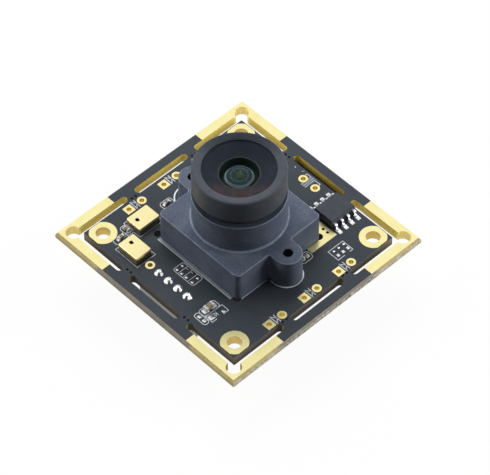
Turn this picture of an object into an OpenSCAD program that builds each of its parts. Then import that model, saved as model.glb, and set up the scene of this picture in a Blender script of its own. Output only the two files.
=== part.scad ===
// Board camera module: a square circuit board that carries a screw-in lens in a moulded holder.
// The origin is the centre of the four mounting holes, on the underside of the board.
// +Z points to the lens side. The wire connector hangs below the board, on its -Y side.

/* [Circuit board] */
// Length and width of the board over its snapped edges
board_side = 38; // [37:0.5:42]
// Thickness of the board
board_t = 1.6; // [1.2:0.1:2]
// Width of the snap-off rail that runs round the inner board
rail_w = 1.8; // [1.6:0.1:2.6]
// Width of the routed slots between the inner board and the rail
slot_w = 1.2; // [1:0.1:1.4]
// Length of the slot in the middle of each side
side_slot_len = 10.4; // [8:0.1:12]
// Width of each tab that ties the inner board to the rail
tab_w = 1.75; // [1.2:0.05:2.4]
// Depth of the snap-off score in each face at the board's edges
score_depth = 0.5; // [0.3:0.05:0.55]
// Distance that the score cuts into each face, measured from the edge
score_inset = 0.28; // [0.15:0.01:0.4]
// Diameter of the relief hole in each corner of the rail
relief_d = 2.3; // [1.6:0.1:2.6]
// Diameter of the perforation holes beside the tabs
bite_d = 0.44; // [0.3:0.02:0.6]

/* [Mounting holes] */
// Distance from the inner board's edges to the centres of the mounting holes
hole_inset = 2; // [2:0.1:2.3]
// Diameter of the plated mounting holes
hole_d = 2.2; // [2:0.1:2.5]
// Diameter of the plated ring round each mounting hole
ring_d = 4.2; // [3.4:0.1:4.4]

/* [Copper and plated pads] */
// Thickness of the plated copper on each face
copper_t = 0.04; // [0.03:0.01:0.08]
// Length of each arm of the corner pads on the rail
corner_pad_arm = 9.8; // [7:0.1:11]
// Outer size of the round and square solder pads
pad_d = 1.46; // [1.3:0.02:1.7]
// Diameter of the plated holes in the solder pads
pad_bore = 0.76; // [0.6:0.02:0.9]
// Distance between the two pads of a lamp position
lamp_pitch = 2.54; // [2.2:0.02:2.8]
// Distance between lamp positions along the side
lamp_row_pitch = 7; // [6:0.1:7.5]
// Distance from the inner board's edge to the lamp pads on the +X side
lamp_inset_right = 0.9; // [0.85:0.05:1.5]
// Distance from the inner board's edge to the lamp pads on the -X side
lamp_inset_left = 1.3; // [0.9:0.05:1.4]
// Length along X of the bare copper at the corner of the lens holder
ground_pad_x = 3.5; // [2.6:0.1:4]
// Length along Y of the bare copper at the corner of the lens holder
ground_pad_y = 5.1; // [4.5:0.1:6]
// Width of the bare copper along the +X side of the lens holder
ground_arm = 1.75; // [1.4:0.05:2.2]

/* [Lens holder] */
// Distance of the lens axis from the board's centre, along +X
lens_offset = 0.4; // [0:0.05:0.5]
// Length and width of the holder's square base at its top
base_w = 16.8; // [16:0.1:17.2]
// Height of the holder's base
base_h = 5.1; // [4.6:0.1:6]
// Distance that each side of the base leans in, from the foot to the top
base_draft = 0.06; // [0.02:0.01:0.2]
// Radius of the base's upright corners at the top
base_corner_r = 0.6; // [0.5:0.1:1.4]
// Thickness of the base's side walls
base_wall = 1.4; // [1:0.1:1.8]
// Height of the holder above the board, base and tower together
tower_h = 10.3; // [9.4:0.1:11]
// Outer diameter of the tower
tower_d = 14.1; // [13.8:0.1:15]
// Radius of the fillet at the foot of the tower
foot_fillet = 0.3; // [0.2:0.05:0.6]
// Distance between the two screw ears
ear_pitch = 20; // [19.6:0.1:20.6]
// Outer diameter of each screw ear at its top
ear_d = 4.3; // [3.8:0.1:4.6]
// Diameter of the pilot hole in each ear
pilot_d = 1.46; // [1.2:0.02:1.7]
// Diameter of the four locating holes at the corners of the base
locating_hole_d = 1.2; // [1:0.1:1.4]
// Side of the square infrared filter
filter_side = 8.2; // [7.6:0.1:9]
// Thickness of the infrared filter
filter_t = 0.45; // [0.3:0.05:0.5]
// Diameter of the light opening between the filter and the lens
window_d = 7; // [6:0.1:7.4]

/* [Holder screws] */
// Diameter of the screws that hold the lens holder
screw_d = 1.9; // [1.7:0.1:2]
// Length of the screws under the head
screw_len = 5; // [4:0.1:5.6]
// Diameter of the screw heads
screw_head_d = 3.6; // [3:0.1:4]
// Height of the screw heads
screw_head_h = 1.2; // [0.8:0.1:1.6]

/* [Lens] */
// Diameter of the lens thread
thread_d = 12; // [11.6:0.1:12.2]
// Diameter of the lens head
head_d = 13.9; // [13.4:0.1:14.6]
// Height of the lens rim above the board
rim_h = 15.45; // [15.2:0.05:16]
// Height of the lens head, from its lower edge to its rim
head_h = 3.95; // [3.4:0.05:4.4]
// Length of the threaded part under the head
thread_len = 5.5; // [5:0.1:5.9]
// Width of the rim's outer bevel
rim_bevel = 0.4; // [0.2:0.05:0.6]
// Diameter of the recess inside the rim
recess_d = 10.9; // [10.6:0.1:11.6]
// Depth of the recess at its wall
recess_depth = 0.35; // [0.2:0.05:0.7]
// Further depth of the cone between the recess wall and the front opening
cone_drop = 0.6; // [0.3:0.05:0.8]
// Diameter of the front opening
opening_d = 5.8; // [5:0.1:6]
// Depth of the well inside the front opening
well_depth = 1.1; // [0.8:0.05:1.3]
// Diameter of the window at the bottom of the well
glass_d = 4.4; // [4:0.1:4.8]
// Thickness of the lip that holds the front lens
lip_t = 0.5; // [0.3:0.05:0.7]
// Diameter of the bore for the front lenses
front_bore_d = 7; // [6.6:0.1:7.4]
// Diameter of the bore for the rear lenses
rear_bore_d = 8.6; // [8.2:0.1:9.2]

/* [Image sensor] */
// Length of the sensor package along X
sensor_len = 10.4; // [9.6:0.1:11.4]
// Width of the sensor package along Y
sensor_w = 9.4; // [8.6:0.1:10.4]
// Height of the sensor package without its cover glass
sensor_h = 1.1; // [0.9:0.05:1.4]

/* [Microphones] */
// Length of each microphone
mic_len = 4; // [3.6:0.1:4.1]
// Width of each microphone
mic_w = 3; // [2.7:0.1:3.1]
// Height of each microphone above the board
mic_h = 1.2; // [1:0.05:1.5]
// Diameter of the sound port
port_d = 0.7; // [0.4:0.05:0.9]

/* [Memory chip] */
// Width of the memory chip's body, across its leads
chip_w = 3.9; // [3.6:0.1:4]
// Length of the memory chip's body, along its leads
chip_len = 4.8; // [4.6:0.1:5]
// Height of the memory chip above the board
chip_h = 1.55; // [1.3:0.05:1.75]
// Distance between the memory chip's leads
chip_pitch = 1.27; // [1.1:0.01:1.3]
// Distance across the toes of the memory chip's leads
chip_span = 6; // [5.8:0.1:6.3]

/* [Wire connector] */
// Distance between connector pins
pin_pitch = 2; // [1.96:0.02:2.1]
// Thickness of the square connector pins
pin_t = 0.5; // [0.4:0.02:0.5]
// Distance from the inner board's -Y edge to the row of pins
header_inset = 2.9; // [2.8:0.05:3.2]
// Height of the connector housing below the board
housing_h = 6; // [5:0.1:7]
// Depth of the connector housing along Y
housing_depth = 4.5; // [4.2:0.1:4.7]
// Thickness of the housing's walls
housing_wall = 0.6; // [0.5:0.05:0.8]

/* [Parts under the board] */
// Side of the square image processor
processor_side = 9; // [8:0.1:10]
// Height of the image processor
processor_h = 0.9; // [0.7:0.05:1.2]
// Side of the square power inductor
inductor_side = 4; // [3.5:0.1:4.4]
// Height of the power inductor
inductor_h = 2; // [1.5:0.1:2.4]

/* [Hidden] */
$fn = 64;

// Clearances between pieces
thread_gap = 0.05;
plating_gap = 0.01;
seat_gap = 0.02;
glue_gap = 0.1;
mask_gap = 0.1;
ground_gap = 0.2;
// Extra length that lets a cut run past the faces it opens
over = 1;
hair = 0.01;

// Board
board_half = board_side / 2;
face_half = board_half - score_inset;
core_half = board_half - rail_w - slot_w;
rail_in = core_half + slot_w;
slot_mid = core_half + slot_w / 2;
tab_end = side_slot_len / 2 + tab_w;
relief_setback = 0.1;
relief_at = rail_in - relief_setback;
hole_at = core_half - hole_inset;
bite_spread = 0.22;
plating_t = 0.04;
ring_clip = core_half - 0.12;
lamp_shift = 0.05;
lamp_right_x = core_half - lamp_inset_right;
lamp_left_x = lamp_inset_left - core_half;
lamp_rows = [-1, 0, 1];
trimmer_pads_x = 0.15;
trimmer_pads_y = core_half - 1.5;

// Wire connector
header_y = header_inset - core_half;
header_first_x = -4.75;
header_places = [0, 1, 2, 3, 4];
pin_places = [1, 2, 3, 4];
housing_x = header_first_x + 2.5 * pin_pitch;
housing_end = 1.95;
housing_len = 3 * pin_pitch + 2 * housing_end;
housing_floor = 1.8;
housing_back = 2.3;
pin_above = 0.6;
fillet_d1 = pad_d * 0.95;
fillet_d2 = pin_t * 1.6;
fillet_h = 0.45;
pin_recess = 1;
pin_below = housing_h - pin_recess;
key_slot_w = 1.2;
key_slot_h = housing_h - housing_floor;

// Lens holder
ear_at = ear_pitch / 2;
locating_shift = 0.05;
locating_x = base_w / 2;
locating_y = base_w / 2 - 0.12;
roof_z = 4;
ear_fillet = 0.4;
foot_w = base_w + 2 * base_draft;
cavity_w = base_w - 2 * base_wall;
thread_bore_d = thread_d + 2 * thread_gap;
screw_hole_d = screw_d + 0.3;
screw_cut_d = screw_d + 2 * thread_gap;
filter_seat_d = filter_t + glue_gap;
tower_edge = 0.15;

// Lens, measured upwards from the board's upper face
head_z = rim_h - head_h;
rear_z = head_z - thread_len;
cone_z = rim_h - recess_depth;
opening_z = cone_z - cone_drop;
ledge_z = opening_z - well_depth;
seat_z = ledge_z - lip_t;
front_dome = 0.55;
front_r = front_bore_d / 2 - thread_gap;
rear_r = rear_bore_d / 2 - thread_gap;
front_lens_t = 0.8;
spacer_t = 0.5;
second_lens_t = 0.9;
stop_t = 0.1;
third_lens_t = 1.2;
rear_lens_t = 0.8;
fourth_lens_t = 0.9;
ring_t = 0.6;
front_lens_z = seat_z - front_lens_t;
spacer_z = front_lens_z - spacer_t;
second_lens_z = spacer_z - second_lens_t;
stop_z = second_lens_z - stop_t;
third_lens_z = stop_z - third_lens_t;
ring_z = rear_z;
rear_lens_z = ring_z + ring_t;
fourth_lens_z = rear_lens_z + rear_lens_t;
bore_step_z = fourth_lens_z + fourth_lens_t;

// Image sensor
sensor_standoff = 0.1;
sensor_floor_t = 0.5;
sensor_rim = 0.9;
sensor_glass_t = 0.5;
sensor_glass_inset = 0.2;
die_len = sensor_len - 3;
die_w = sensor_w - 3.8;
die_t = 0.3;
joints_per_side = 10;
joint_w = 0.4;
joint_len = 0.9;

// Microphones: one between the lamp pads and the holder, one between a mounting ring and the connector
mic_share_1 = 0.352;
mic_share_2 = 0.725;
lamp_edge = lamp_left_x + pad_d / 2;
ring_edge = ring_d / 2 - hole_at;
header_edge = header_first_x - pad_d / 2;
mic_x1 = lamp_edge + mic_share_1 * (lens_offset - foot_w / 2 - lamp_edge - mic_w) + mic_w / 2;
mic_x2 = ring_edge + mic_share_2 * (header_edge - ring_edge - mic_len) + mic_len / 2;
mic_y1 = 5.67 - hole_at;
mic_y2 = 1.02 - hole_at;
mic_places = [[mic_x1, mic_y1, 90], [mic_x2, mic_y2, 0]];
mic_port_along = 0.92;
mic_port_across = 0.2;
mic_base_t = 0.25;
mic_lid_inset = 0.06;
mic_lid_wall = 0.1;
mic_corner_r = 0.3;

// Memory chip
chip_x = 6.85;
chip_y = core_half - 2.9;
chip_standoff = 0.12;
chip_draft = 0.14;
chip_bevel = 0.35;
lead_w = 0.42;
lead_t = 0.2;
lead_z = 0.8;
foot_len = 0.6;

// Sizes of the chip parts: [length, width, height]
small_chip = [1, 0.5, 0.5];
flat_chip = [1, 0.5, 0.35];
large_chip = [1.6, 0.8, 0.8];
end_len_share = 0.24;

// Small parts on the lens side
filter_group_x = header_first_x + 4 * pin_pitch + 3.9;
holder_right = lens_offset + foot_w / 2;
holder_left = lens_offset - foot_w / 2;
// Capacitors: [x, y, turn, size]
capacitor_places = [
    [mic_x1 - 0.55, mic_y1 - mic_len / 2 - 0.77, 0, small_chip],
    [ring_edge + 0.28 * (mic_x2 - mic_len / 2 - ring_edge), 1.25 - hole_at, 90, small_chip],
    [filter_group_x - 0.15, 3.6 - core_half, 90, large_chip],
    [holder_right + 1.02, ear_d / 2 + 1.93, 90, small_chip],
    [holder_left - 3.64, -3.35, 90, flat_chip]
];
// Rows of bare pads between the holder and the connector, and beside the lamp positions
matrix_mid_share = 0.468;
matrix_space = header_y + pad_d / 2 + foot_w / 2;
matrix_y = matrix_space * matrix_mid_share - foot_w / 2;
matrix_pitch = 1.07;
array_x = lamp_right_x - 2.2;
array_y = lamp_shift + lamp_row_pitch + 1.82;
array_pitch = 1;
// Tinned pads with no part on them: [x, y, size along X, size along Y]
tinned_places = concat(
    [for (x = [-1.38, -0.4, 0.6, 1.84]) [x, matrix_y - matrix_pitch / 2, 0.42, 0.42]],
    [for (x = [-1.38, 1.84]) [x, matrix_y + matrix_pitch / 2, 0.42, 0.42]],
    [for (j = [-1, 0, 1]) [array_x, array_y + j * array_pitch, 0.5, 0.46]],
    [for (j = [-1, 0, 1]) [array_x - 0.98, array_y + j * array_pitch + 0.04, 0.26, 0.36]],
    [for (x = [0, 1]) [filter_group_x + x, 1.58 - core_half, 0.56, 0.5]],
    [[filter_group_x + 1.29, 2.78 - core_half, 0.8, 0.9]],
    [[filter_group_x + 1.63, 4.78 - core_half, 0.5, 0.5]],
    [for (side = [-1, 1]) for (i = [0:3]) [
        chip_x + side * (chip_span / 2 - 0.15), chip_y + (i - 1.5) * chip_pitch, 1.2, 0.6
    ]]
);
tin_t = 0.08;
via_d = 0.46;
ground_right = holder_right + 1.14;
ground_top = min(foot_w / 2 + 2.04, chip_y - chip_len / 2 - ground_gap);
via_share = 0.647;
via_pitch = 0.9;
via_inset = 0.33;
via_y = foot_w / 2 + via_share * (ground_top - foot_w / 2);
via_places = [for (step = [1, 2]) [ground_right - via_inset - via_pitch * step, via_y]];

// Parts under the board
processor_at = [0.4, 2.2];
processor_standoff = 0.05;
processor_pad_pitch = 0.5;
processor_pad_inset = 0.7;
processor_pad_w = 0.25;
processor_pad_len = 0.4;
crystal_at = [-7.6, 4.6];
crystal_size = [3.2, 2.5, 0.45];
crystal_lid_t = 0.3;
crystal_lid_inset = 0.25;
inductor_at = [8.4, -4.8];
inductor_end_t = 0.05;
inductor_end_len = 1.1;
inductor_corner_r = 0.5;
regulator_places = [[-8.6, -4.6, 0], [8.8, 4.4, 90], [3.4, 10.4, 0]];
regulator_size = [2.9, 1.6, 1.1];
regulator_pitch = 0.95;
regulator_span = 2.8;
regulator_lead_w = 0.38;
regulator_lead_t = 0.15;
large_under_places = [[4.8, -6.2], [11.3, -4.8], [-1.4, 10.4], [-11.3, -4.6], [11.3, 4.4]];
under_capacitors = concat(
    [for (i = [0:4]) [-3.6 + 2 * i, -4.2, 90, small_chip]],
    [for (i = [0:3]) [-6.2, -1.6 + 1.2 * i, 0, small_chip]],
    [for (p = large_under_places) [p[0], p[1], 90, large_chip]]
);
under_resistors = concat(
    [for (i = [0:3]) [-3 + 1.6 * i, -7.4, 90, flat_chip]],
    [for (i = [0:2]) [-10.6, 3.4 + 1.2 * i, 0, flat_chip]],
    [for (i = [0:2]) [-6.2 + 1.4 * i, 8.6, 90, flat_chip]]
);

// Shared shapes

module on_board() {
    translate([0, 0, board_t]) children();
}

module at_lens() {
    translate([lens_offset, 0, board_t]) children();
}

module four_sides() {
    for (a = [0:90:270]) rotate(a) children();
}

module four_corners(x, y) {
    for (i = [-1, 1]) for (j = [-1, 1]) translate([i * x, j * y, 0]) children();
}

module two_ears() {
    for (side = [-1, 1]) translate([lens_offset + side * ear_at, 0, 0]) children();
}

module slot_outline(from, to, width) {
    translate([from, -width / 2]) square([to - from, width]);
    for (x = [from, to]) translate([x, 0]) circle(width / 2);
}

module block(x, y, z) {
    translate([-x / 2, -y / 2, 0]) cube([x, y, z]);
}

module rounded_outline(x, y, r) {
    square([x - 2 * r, y], center = true);
    square([x, y - 2 * r], center = true);
    for (i = [-1, 1]) for (j = [-1, 1]) {
        translate([i * (x / 2 - r), j * (y / 2 - r)]) circle(r);
    }
}

module rounded_block(x, y, z, r) {
    linear_extrude(z) rounded_outline(x, y, r);
}

// A block whose four sides lean in by draft towards its top, as a moulded body does
module drafted_block(x, y, z, draft) {
    intersection() {
        rotate([90, 0, 0]) linear_extrude(y + over, center = true) polygon([
            [-x / 2, 0], [x / 2, 0], [x / 2 - draft, z], [draft - x / 2, z]
        ]);
        rotate([90, 0, 90]) linear_extrude(x + over, center = true) polygon([
            [-y / 2, 0], [y / 2, 0], [y / 2 - draft, z], [draft - y / 2, z]
        ]);
    }
}

// A drafted wall that runs along Y: full width at the top, wider by draft on each side at its foot
module drafted_wall(width, length, height, draft) {
    rotate([90, 0, 0]) linear_extrude(length, center = true) polygon([
        [-width / 2 - draft, 0], [width / 2 + draft, 0], [width / 2, height], [-width / 2, height]
    ]);
}

// A plated hole: a pad on each face and the barrel that joins them
module plated_hole(bore) {
    difference() {
        union() {
            for (z = [-copper_t, board_t]) translate([0, 0, z]) linear_extrude(copper_t) children();
            translate([0, 0, -copper_t]) cylinder(d = bore + 2 * plating_t, h = board_t + 2 * copper_t);
        }
        translate([0, 0, -over]) cylinder(d = bore, h = board_t + 2 * over);
    }
}

module drill(d) {
    translate([0, 0, -over]) cylinder(d = d, h = board_t + 2 * over);
}

module plated_drill(bore) {
    drill(bore + 2 * plating_t + 2 * plating_gap);
}

// The two end caps of a chip part whose length runs along X
module chip_ends(size) {
    cap = size[0] * end_len_share;
    for (side = [-1, 1]) translate([side * (size[0] - cap) / 2, 0, 0]) block(cap, size[1], size[2]);
}

module chip_middle(size) {
    block(size[0] * (1 - 2 * end_len_share), size[1], size[2]);
}

// A solid cap of a sphere on a round base
module dome(radius, rise) {
    sphere_r = (radius * radius + rise * rise) / (2 * rise);
    intersection() {
        translate([0, 0, rise - sphere_r]) sphere(sphere_r);
        cylinder(r = radius, h = rise);
    }
}

// A lens with flat rims: a positive front or rear bulges, a negative one is hollow
module lens_element(r, t, front_r, front, rear_r, rear) {
    difference() {
        union() {
            cylinder(r = r, h = t);
            if (front > 0) translate([0, 0, t - hair]) dome(front_r, front + hair);
            if (rear > 0) translate([0, 0, hair]) mirror([0, 0, 1]) dome(rear_r, rear + hair);
        }
        if (front < 0) translate([0, 0, t + hair]) mirror([0, 0, 1]) dome(front_r, hair - front);
        if (rear < 0) translate([0, 0, -hair]) dome(rear_r, hair - rear);
    }
}

module ring(outer_d, inner_d, t) {
    difference() {
        cylinder(d = outer_d, h = t);
        translate([0, 0, -over]) cylinder(d = inner_d, h = t + 2 * over);
    }
}

// Pad and hole places

module lamp_pads(step) {
    for (x = [lamp_left_x, lamp_right_x]) for (row = lamp_rows) {
        translate([x, lamp_shift + row * lamp_row_pitch + step * lamp_pitch / 2, 0]) children();
    }
}

module round_pad_places() {
    lamp_pads(1) children();
    for (side = [-1, 1]) translate([trimmer_pads_x + side * lamp_pitch / 2, trimmer_pads_y, 0]) children();
    header_hole_places(header_places) children();
}

module header_hole_places(places) {
    for (i = places) translate([header_first_x + i * pin_pitch, header_y, 0]) children();
}

module locating_hole_places() {
    translate([locating_shift, 0, 0]) four_corners(locating_x, locating_y) children();
}

// Circuit board

module scored_slab() {
    profile = [
        [-face_half, 0], [face_half, 0], [board_half, score_depth], [board_half, board_t - score_depth],
        [face_half, board_t], [-face_half, board_t], [-board_half, board_t - score_depth],
        [-board_half, score_depth]
    ];
    intersection() {
        rotate([90, 0, 0]) linear_extrude(board_side + over, center = true) polygon(profile);
        rotate([90, 0, 90]) linear_extrude(board_side + over, center = true) polygon(profile);
    }
}

module side_cuts() {
    translate([0, slot_mid]) slot_outline(
        slot_w / 2 - side_slot_len / 2, side_slot_len / 2 - slot_w / 2, slot_w
    );
    translate([0, slot_mid]) slot_outline(tab_end + slot_w / 2, slot_mid, slot_w);
    translate([slot_mid, 0]) rotate(90) slot_outline(tab_end + slot_w / 2, slot_mid, slot_w);
    translate([relief_at, relief_at]) circle(d = relief_d);
    for (side = [-1, 1]) for (step = [-1, 1]) {
        translate([side * (tab_end - tab_w / 2) + step * tab_w * bite_spread, core_half]) circle(d = bite_d);
    }
}

module circuit_board() {
    color("darkslategray") difference() {
        scored_slab();
        four_sides() translate([0, 0, -over]) linear_extrude(board_t + 2 * over) side_cuts();
        four_corners(hole_at, hole_at) plated_drill(hole_d);
        round_pad_places() plated_drill(pad_bore);
        lamp_pads(-1) plated_drill(pad_bore);
        locating_hole_places() drill(locating_hole_d);
        two_ears() drill(screw_hole_d);
        for (p = via_places) translate([p[0], p[1], 0]) drill(via_d);
    }
}

module corner_pads() {
    arm = face_half - corner_pad_arm;
    color("khaki") for (z = [-copper_t, board_t]) four_sides() translate([0, 0, z]) {
        linear_extrude(copper_t) difference() {
            union() {
                translate([arm, rail_in]) square([corner_pad_arm, face_half - rail_in]);
                translate([rail_in, arm]) square([face_half - rail_in, corner_pad_arm]);
            }
            translate([relief_at, relief_at]) circle(d = relief_d);
        }
    }
}

module mounting_rings() {
    color("khaki") intersection() {
        four_corners(hole_at, hole_at) plated_hole(hole_d) circle(d = ring_d);
        translate([0, 0, -over]) block(2 * ring_clip, 2 * ring_clip, board_t + 2 * over);
    }
}

module round_pads() {
    color("khaki") round_pad_places() plated_hole(pad_bore) circle(d = pad_d);
}

module square_pads() {
    color("khaki") lamp_pads(-1) plated_hole(pad_bore) square(pad_d, center = true);
}

module ground_pad() {
    clear_w = foot_w + 2 * mask_gap;
    color("khaki") on_board() difference() {
        union() {
            translate([ground_right - ground_pad_x, ground_top - ground_arm, 0]) {
                cube([ground_pad_x, ground_arm, copper_t]);
            }
            translate([ground_right - ground_arm, ground_top - ground_pad_y, 0]) {
                cube([ground_arm, ground_pad_y, copper_t]);
            }
        }
        translate([lens_offset, 0, -over]) {
            rounded_block(clear_w, clear_w, 2 * over, base_corner_r + base_draft);
        }
        translate([0, 0, -over]) locating_hole_places() cylinder(d = locating_hole_d + mask_gap, h = 2 * over);
        for (p = via_places) translate([p[0], p[1], -over]) cylinder(d = via_d, h = 2 * over);
    }
}

module tinned_pads() {
    color("silver") on_board() {
        for (p = tinned_places) translate([p[0], p[1], 0]) block(p[2], p[3], tin_t);
    }
}

// Lens holder

module drafted_base() {
    flat = base_w - 2 * base_corner_r;
    corner = flat / 2;
    for (a = [0, 90]) rotate(a) drafted_wall(base_w, flat, base_h, base_draft);
    four_corners(corner, corner) cylinder(r1 = base_corner_r + base_draft, r2 = base_corner_r, h = base_h);
}

// One ear, its web to the base and the fillets where the web meets the wall
module drafted_ear() {
    wall = base_w / 2;
    web = ear_at - wall + base_wall;
    translate([ear_at, 0, 0]) cylinder(d1 = ear_d + 2 * base_draft, d2 = ear_d, h = base_h);
    translate([ear_at - web / 2, 0, 0]) rotate(90) drafted_wall(ear_d, web, base_h, base_draft);
    for (side = [-1, 1]) difference() {
        translate([wall - hair, side > 0 ? ear_d / 2 - hair : -ear_d / 2 - ear_fillet, 0]) {
            cube([ear_fillet + hair, ear_fillet + hair, base_h]);
        }
        translate([wall + ear_fillet, side * (ear_d / 2 + ear_fillet), 0]) {
            cylinder(r1 = ear_fillet - base_draft, r2 = ear_fillet, h = base_h);
        }
    }
}

module tower_profile() {
    r = tower_d / 2;
    difference() {
        union() {
            translate([0, roof_z]) square([r, tower_h - roof_z]);
            difference() {
                translate([r - hair, base_h - hair]) square(foot_fillet + hair);
                translate([r + foot_fillet, base_h + foot_fillet]) circle(foot_fillet);
            }
        }
        difference() {
            translate([r - tower_edge, tower_h - tower_edge]) square(tower_edge + hair);
            translate([r - tower_edge, tower_h - tower_edge]) circle(tower_edge);
        }
    }
}

module lens_holder() {
    color("dimgray") at_lens() difference() {
        union() {
            drafted_base();
            for (a = [0, 180]) rotate(a) drafted_ear();
            rotate_extrude() tower_profile();
        }
        translate([0, 0, -over]) block(cavity_w, cavity_w, roof_z + over);
        translate([0, 0, roof_z - over]) block(
            filter_side + 2 * glue_gap, filter_side + 2 * glue_gap, filter_seat_d + over
        );
        cylinder(d = window_d, h = tower_h);
        translate([0, 0, base_h]) cylinder(d = thread_bore_d, h = tower_h);
        for (side = [-1, 1]) translate([side * ear_at, 0, 0]) {
            translate([0, 0, -over]) cylinder(d = pilot_d, h = base_h + 2 * over);
            translate([0, 0, -over]) cylinder(d = screw_cut_d, h = screw_len - board_t + seat_gap + over);
        }
    }
}

module holder_screws() {
    recess_len = screw_head_d * 0.55;
    recess_w = screw_head_d * 0.14;
    recess_depth = screw_head_h * 0.6;
    color("lightgray") two_ears() difference() {
        union() {
            cylinder(d = screw_d, h = screw_len);
            translate([0, 0, -screw_head_h]) cylinder(d = screw_head_d, h = screw_head_h);
        }
        for (a = [0, 90]) rotate(a) translate([0, 0, -screw_head_h - over]) {
            block(recess_len, recess_w, recess_depth + over);
        }
    }
}

module infrared_filter() {
    color("lightpink") at_lens() translate([0, 0, roof_z + filter_seat_d - filter_t - seat_gap]) {
        block(filter_side, filter_side, filter_t);
    }
}

// Image sensor

module sensor_package() {
    color("dimgray") at_lens() translate([0, 0, sensor_standoff]) difference() {
        block(sensor_len, sensor_w, sensor_h);
        translate([0, 0, sensor_floor_t]) {
            block(sensor_len - 2 * sensor_rim, sensor_w - 2 * sensor_rim, sensor_h);
        }
    }
}

module sensor_die() {
    color("slategray") at_lens() translate([0, 0, sensor_standoff + sensor_floor_t]) {
        block(die_len, die_w, die_t);
    }
}

module sensor_glass() {
    color("lightcyan") at_lens() translate([0, 0, sensor_standoff + sensor_h]) {
        block(sensor_len - 2 * sensor_glass_inset, sensor_w - 2 * sensor_glass_inset, sensor_glass_t);
    }
}

// Solder joints along one edge of the sensor: half of each lies under the package
module joint_row(row_len, edge) {
    pitch = row_len / (joints_per_side + 1);
    for (i = [1:joints_per_side]) translate([i * pitch - row_len / 2, edge, 0]) {
        block(joint_w, joint_len, sensor_standoff);
    }
}

module sensor_joints() {
    color("silver") at_lens() for (side = [0, 180]) {
        rotate(side) joint_row(sensor_len, sensor_w / 2 - 0.2);
        rotate(side + 90) joint_row(sensor_w, sensor_len / 2 - 0.2);
    }
}

// Lens

module lens_barrel() {
    color("darkgray") at_lens() rotate_extrude() polygon([
        [rear_bore_d / 2, rear_z], [thread_d / 2, rear_z], [thread_d / 2, head_z],
        [head_d / 2, head_z], [head_d / 2, rim_h - rim_bevel], [head_d / 2 - rim_bevel, rim_h],
        [recess_d / 2, rim_h], [recess_d / 2, cone_z], [opening_d / 2, opening_z],
        [opening_d / 2, ledge_z], [glass_d / 2, ledge_z], [glass_d / 2, seat_z],
        [front_bore_d / 2, seat_z], [front_bore_d / 2, bore_step_z], [rear_bore_d / 2, bore_step_z]
    ]);
}

module front_lens() {
    glass_r = glass_d / 2 - thread_gap;
    color("lightcyan") at_lens() translate([0, 0, front_lens_z]) {
        lens_element(front_r, front_lens_t, glass_r, 0, 2, -0.35);
        translate([0, 0, front_lens_t - hair]) cylinder(r = glass_r, h = lip_t + hair);
        translate([0, 0, front_lens_t + lip_t - hair]) dome(glass_r, front_dome + hair);
    }
}

module front_spacer() {
    color("darkgray") at_lens() translate([0, 0, spacer_z]) ring(2 * front_r, 4.2, spacer_t);
}

module second_lens() {
    color("lightcyan") at_lens() translate([0, 0, second_lens_z]) {
        lens_element(front_r, second_lens_t, 2, 0.3, 1.6, -0.3);
    }
}

module aperture_stop() {
    color("black") at_lens() translate([0, 0, stop_z]) ring(2 * front_r, 1.8, stop_t);
}

module third_lens() {
    color("lightcyan") at_lens() translate([0, 0, third_lens_z]) {
        lens_element(front_r, third_lens_t, 2.2, -0.25, 2.4, 0.35);
    }
}

module middle_spacer() {
    color("darkgray") at_lens() translate([0, 0, bore_step_z]) {
        ring(2 * front_r, 5.4, third_lens_z - bore_step_z);
    }
}

module fourth_lens() {
    color("lightcyan") at_lens() translate([0, 0, fourth_lens_z]) {
        lens_element(rear_r, fourth_lens_t, 2.5, 0.25, 2.8, -0.3);
    }
}

module rear_lens() {
    color("lightcyan") at_lens() translate([0, 0, rear_lens_z]) {
        lens_element(rear_r, rear_lens_t, 2.8, 0.25, 2.6, 0.3);
    }
}

module retaining_ring() {
    color("darkgray") at_lens() translate([0, 0, ring_z]) difference() {
        ring(2 * rear_r, 6, ring_t);
        for (side = [-1, 1]) translate([side * rear_r, 0, -over]) block(1.2, 0.6, over + ring_t / 2);
    }
}

// Microphones

module at_microphones() {
    for (p = mic_places) translate([p[0], p[1], board_t]) rotate(p[2]) children();
}

module microphone_bases() {
    color("darkolivegreen") at_microphones() block(mic_len, mic_w, mic_base_t);
}

module microphone_lids() {
    length = mic_len - 2 * mic_lid_inset;
    width = mic_w - 2 * mic_lid_inset;
    height = mic_h - mic_base_t;
    color("khaki") for (p = mic_places) translate([p[0], p[1], board_t + mic_base_t]) rotate(p[2]) {
        difference() {
            rounded_block(length, width, height, mic_corner_r);
            translate([0, 0, -over]) rounded_block(
                length - 2 * mic_lid_wall, width - 2 * mic_lid_wall, height - mic_lid_wall + over,
                mic_corner_r - mic_lid_wall
            );
            translate([-mic_port_along, mic_port_across, 0]) cylinder(d = port_d, h = height + over);
        }
    }
}

module microphone_dies() {
    color("slategray") at_microphones() translate([0, 0, mic_base_t]) {
        translate([mic_len * 0.18, 0, 0]) block(mic_len * 0.3, mic_w * 0.4, mic_h * 0.35);
        translate([-mic_len * 0.22, 0, 0]) block(mic_len * 0.22, mic_w * 0.3, mic_h * 0.2);
    }
}

// Memory chip

module at_memory_chip() {
    translate([chip_x, chip_y, board_t]) children();
}

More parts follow.
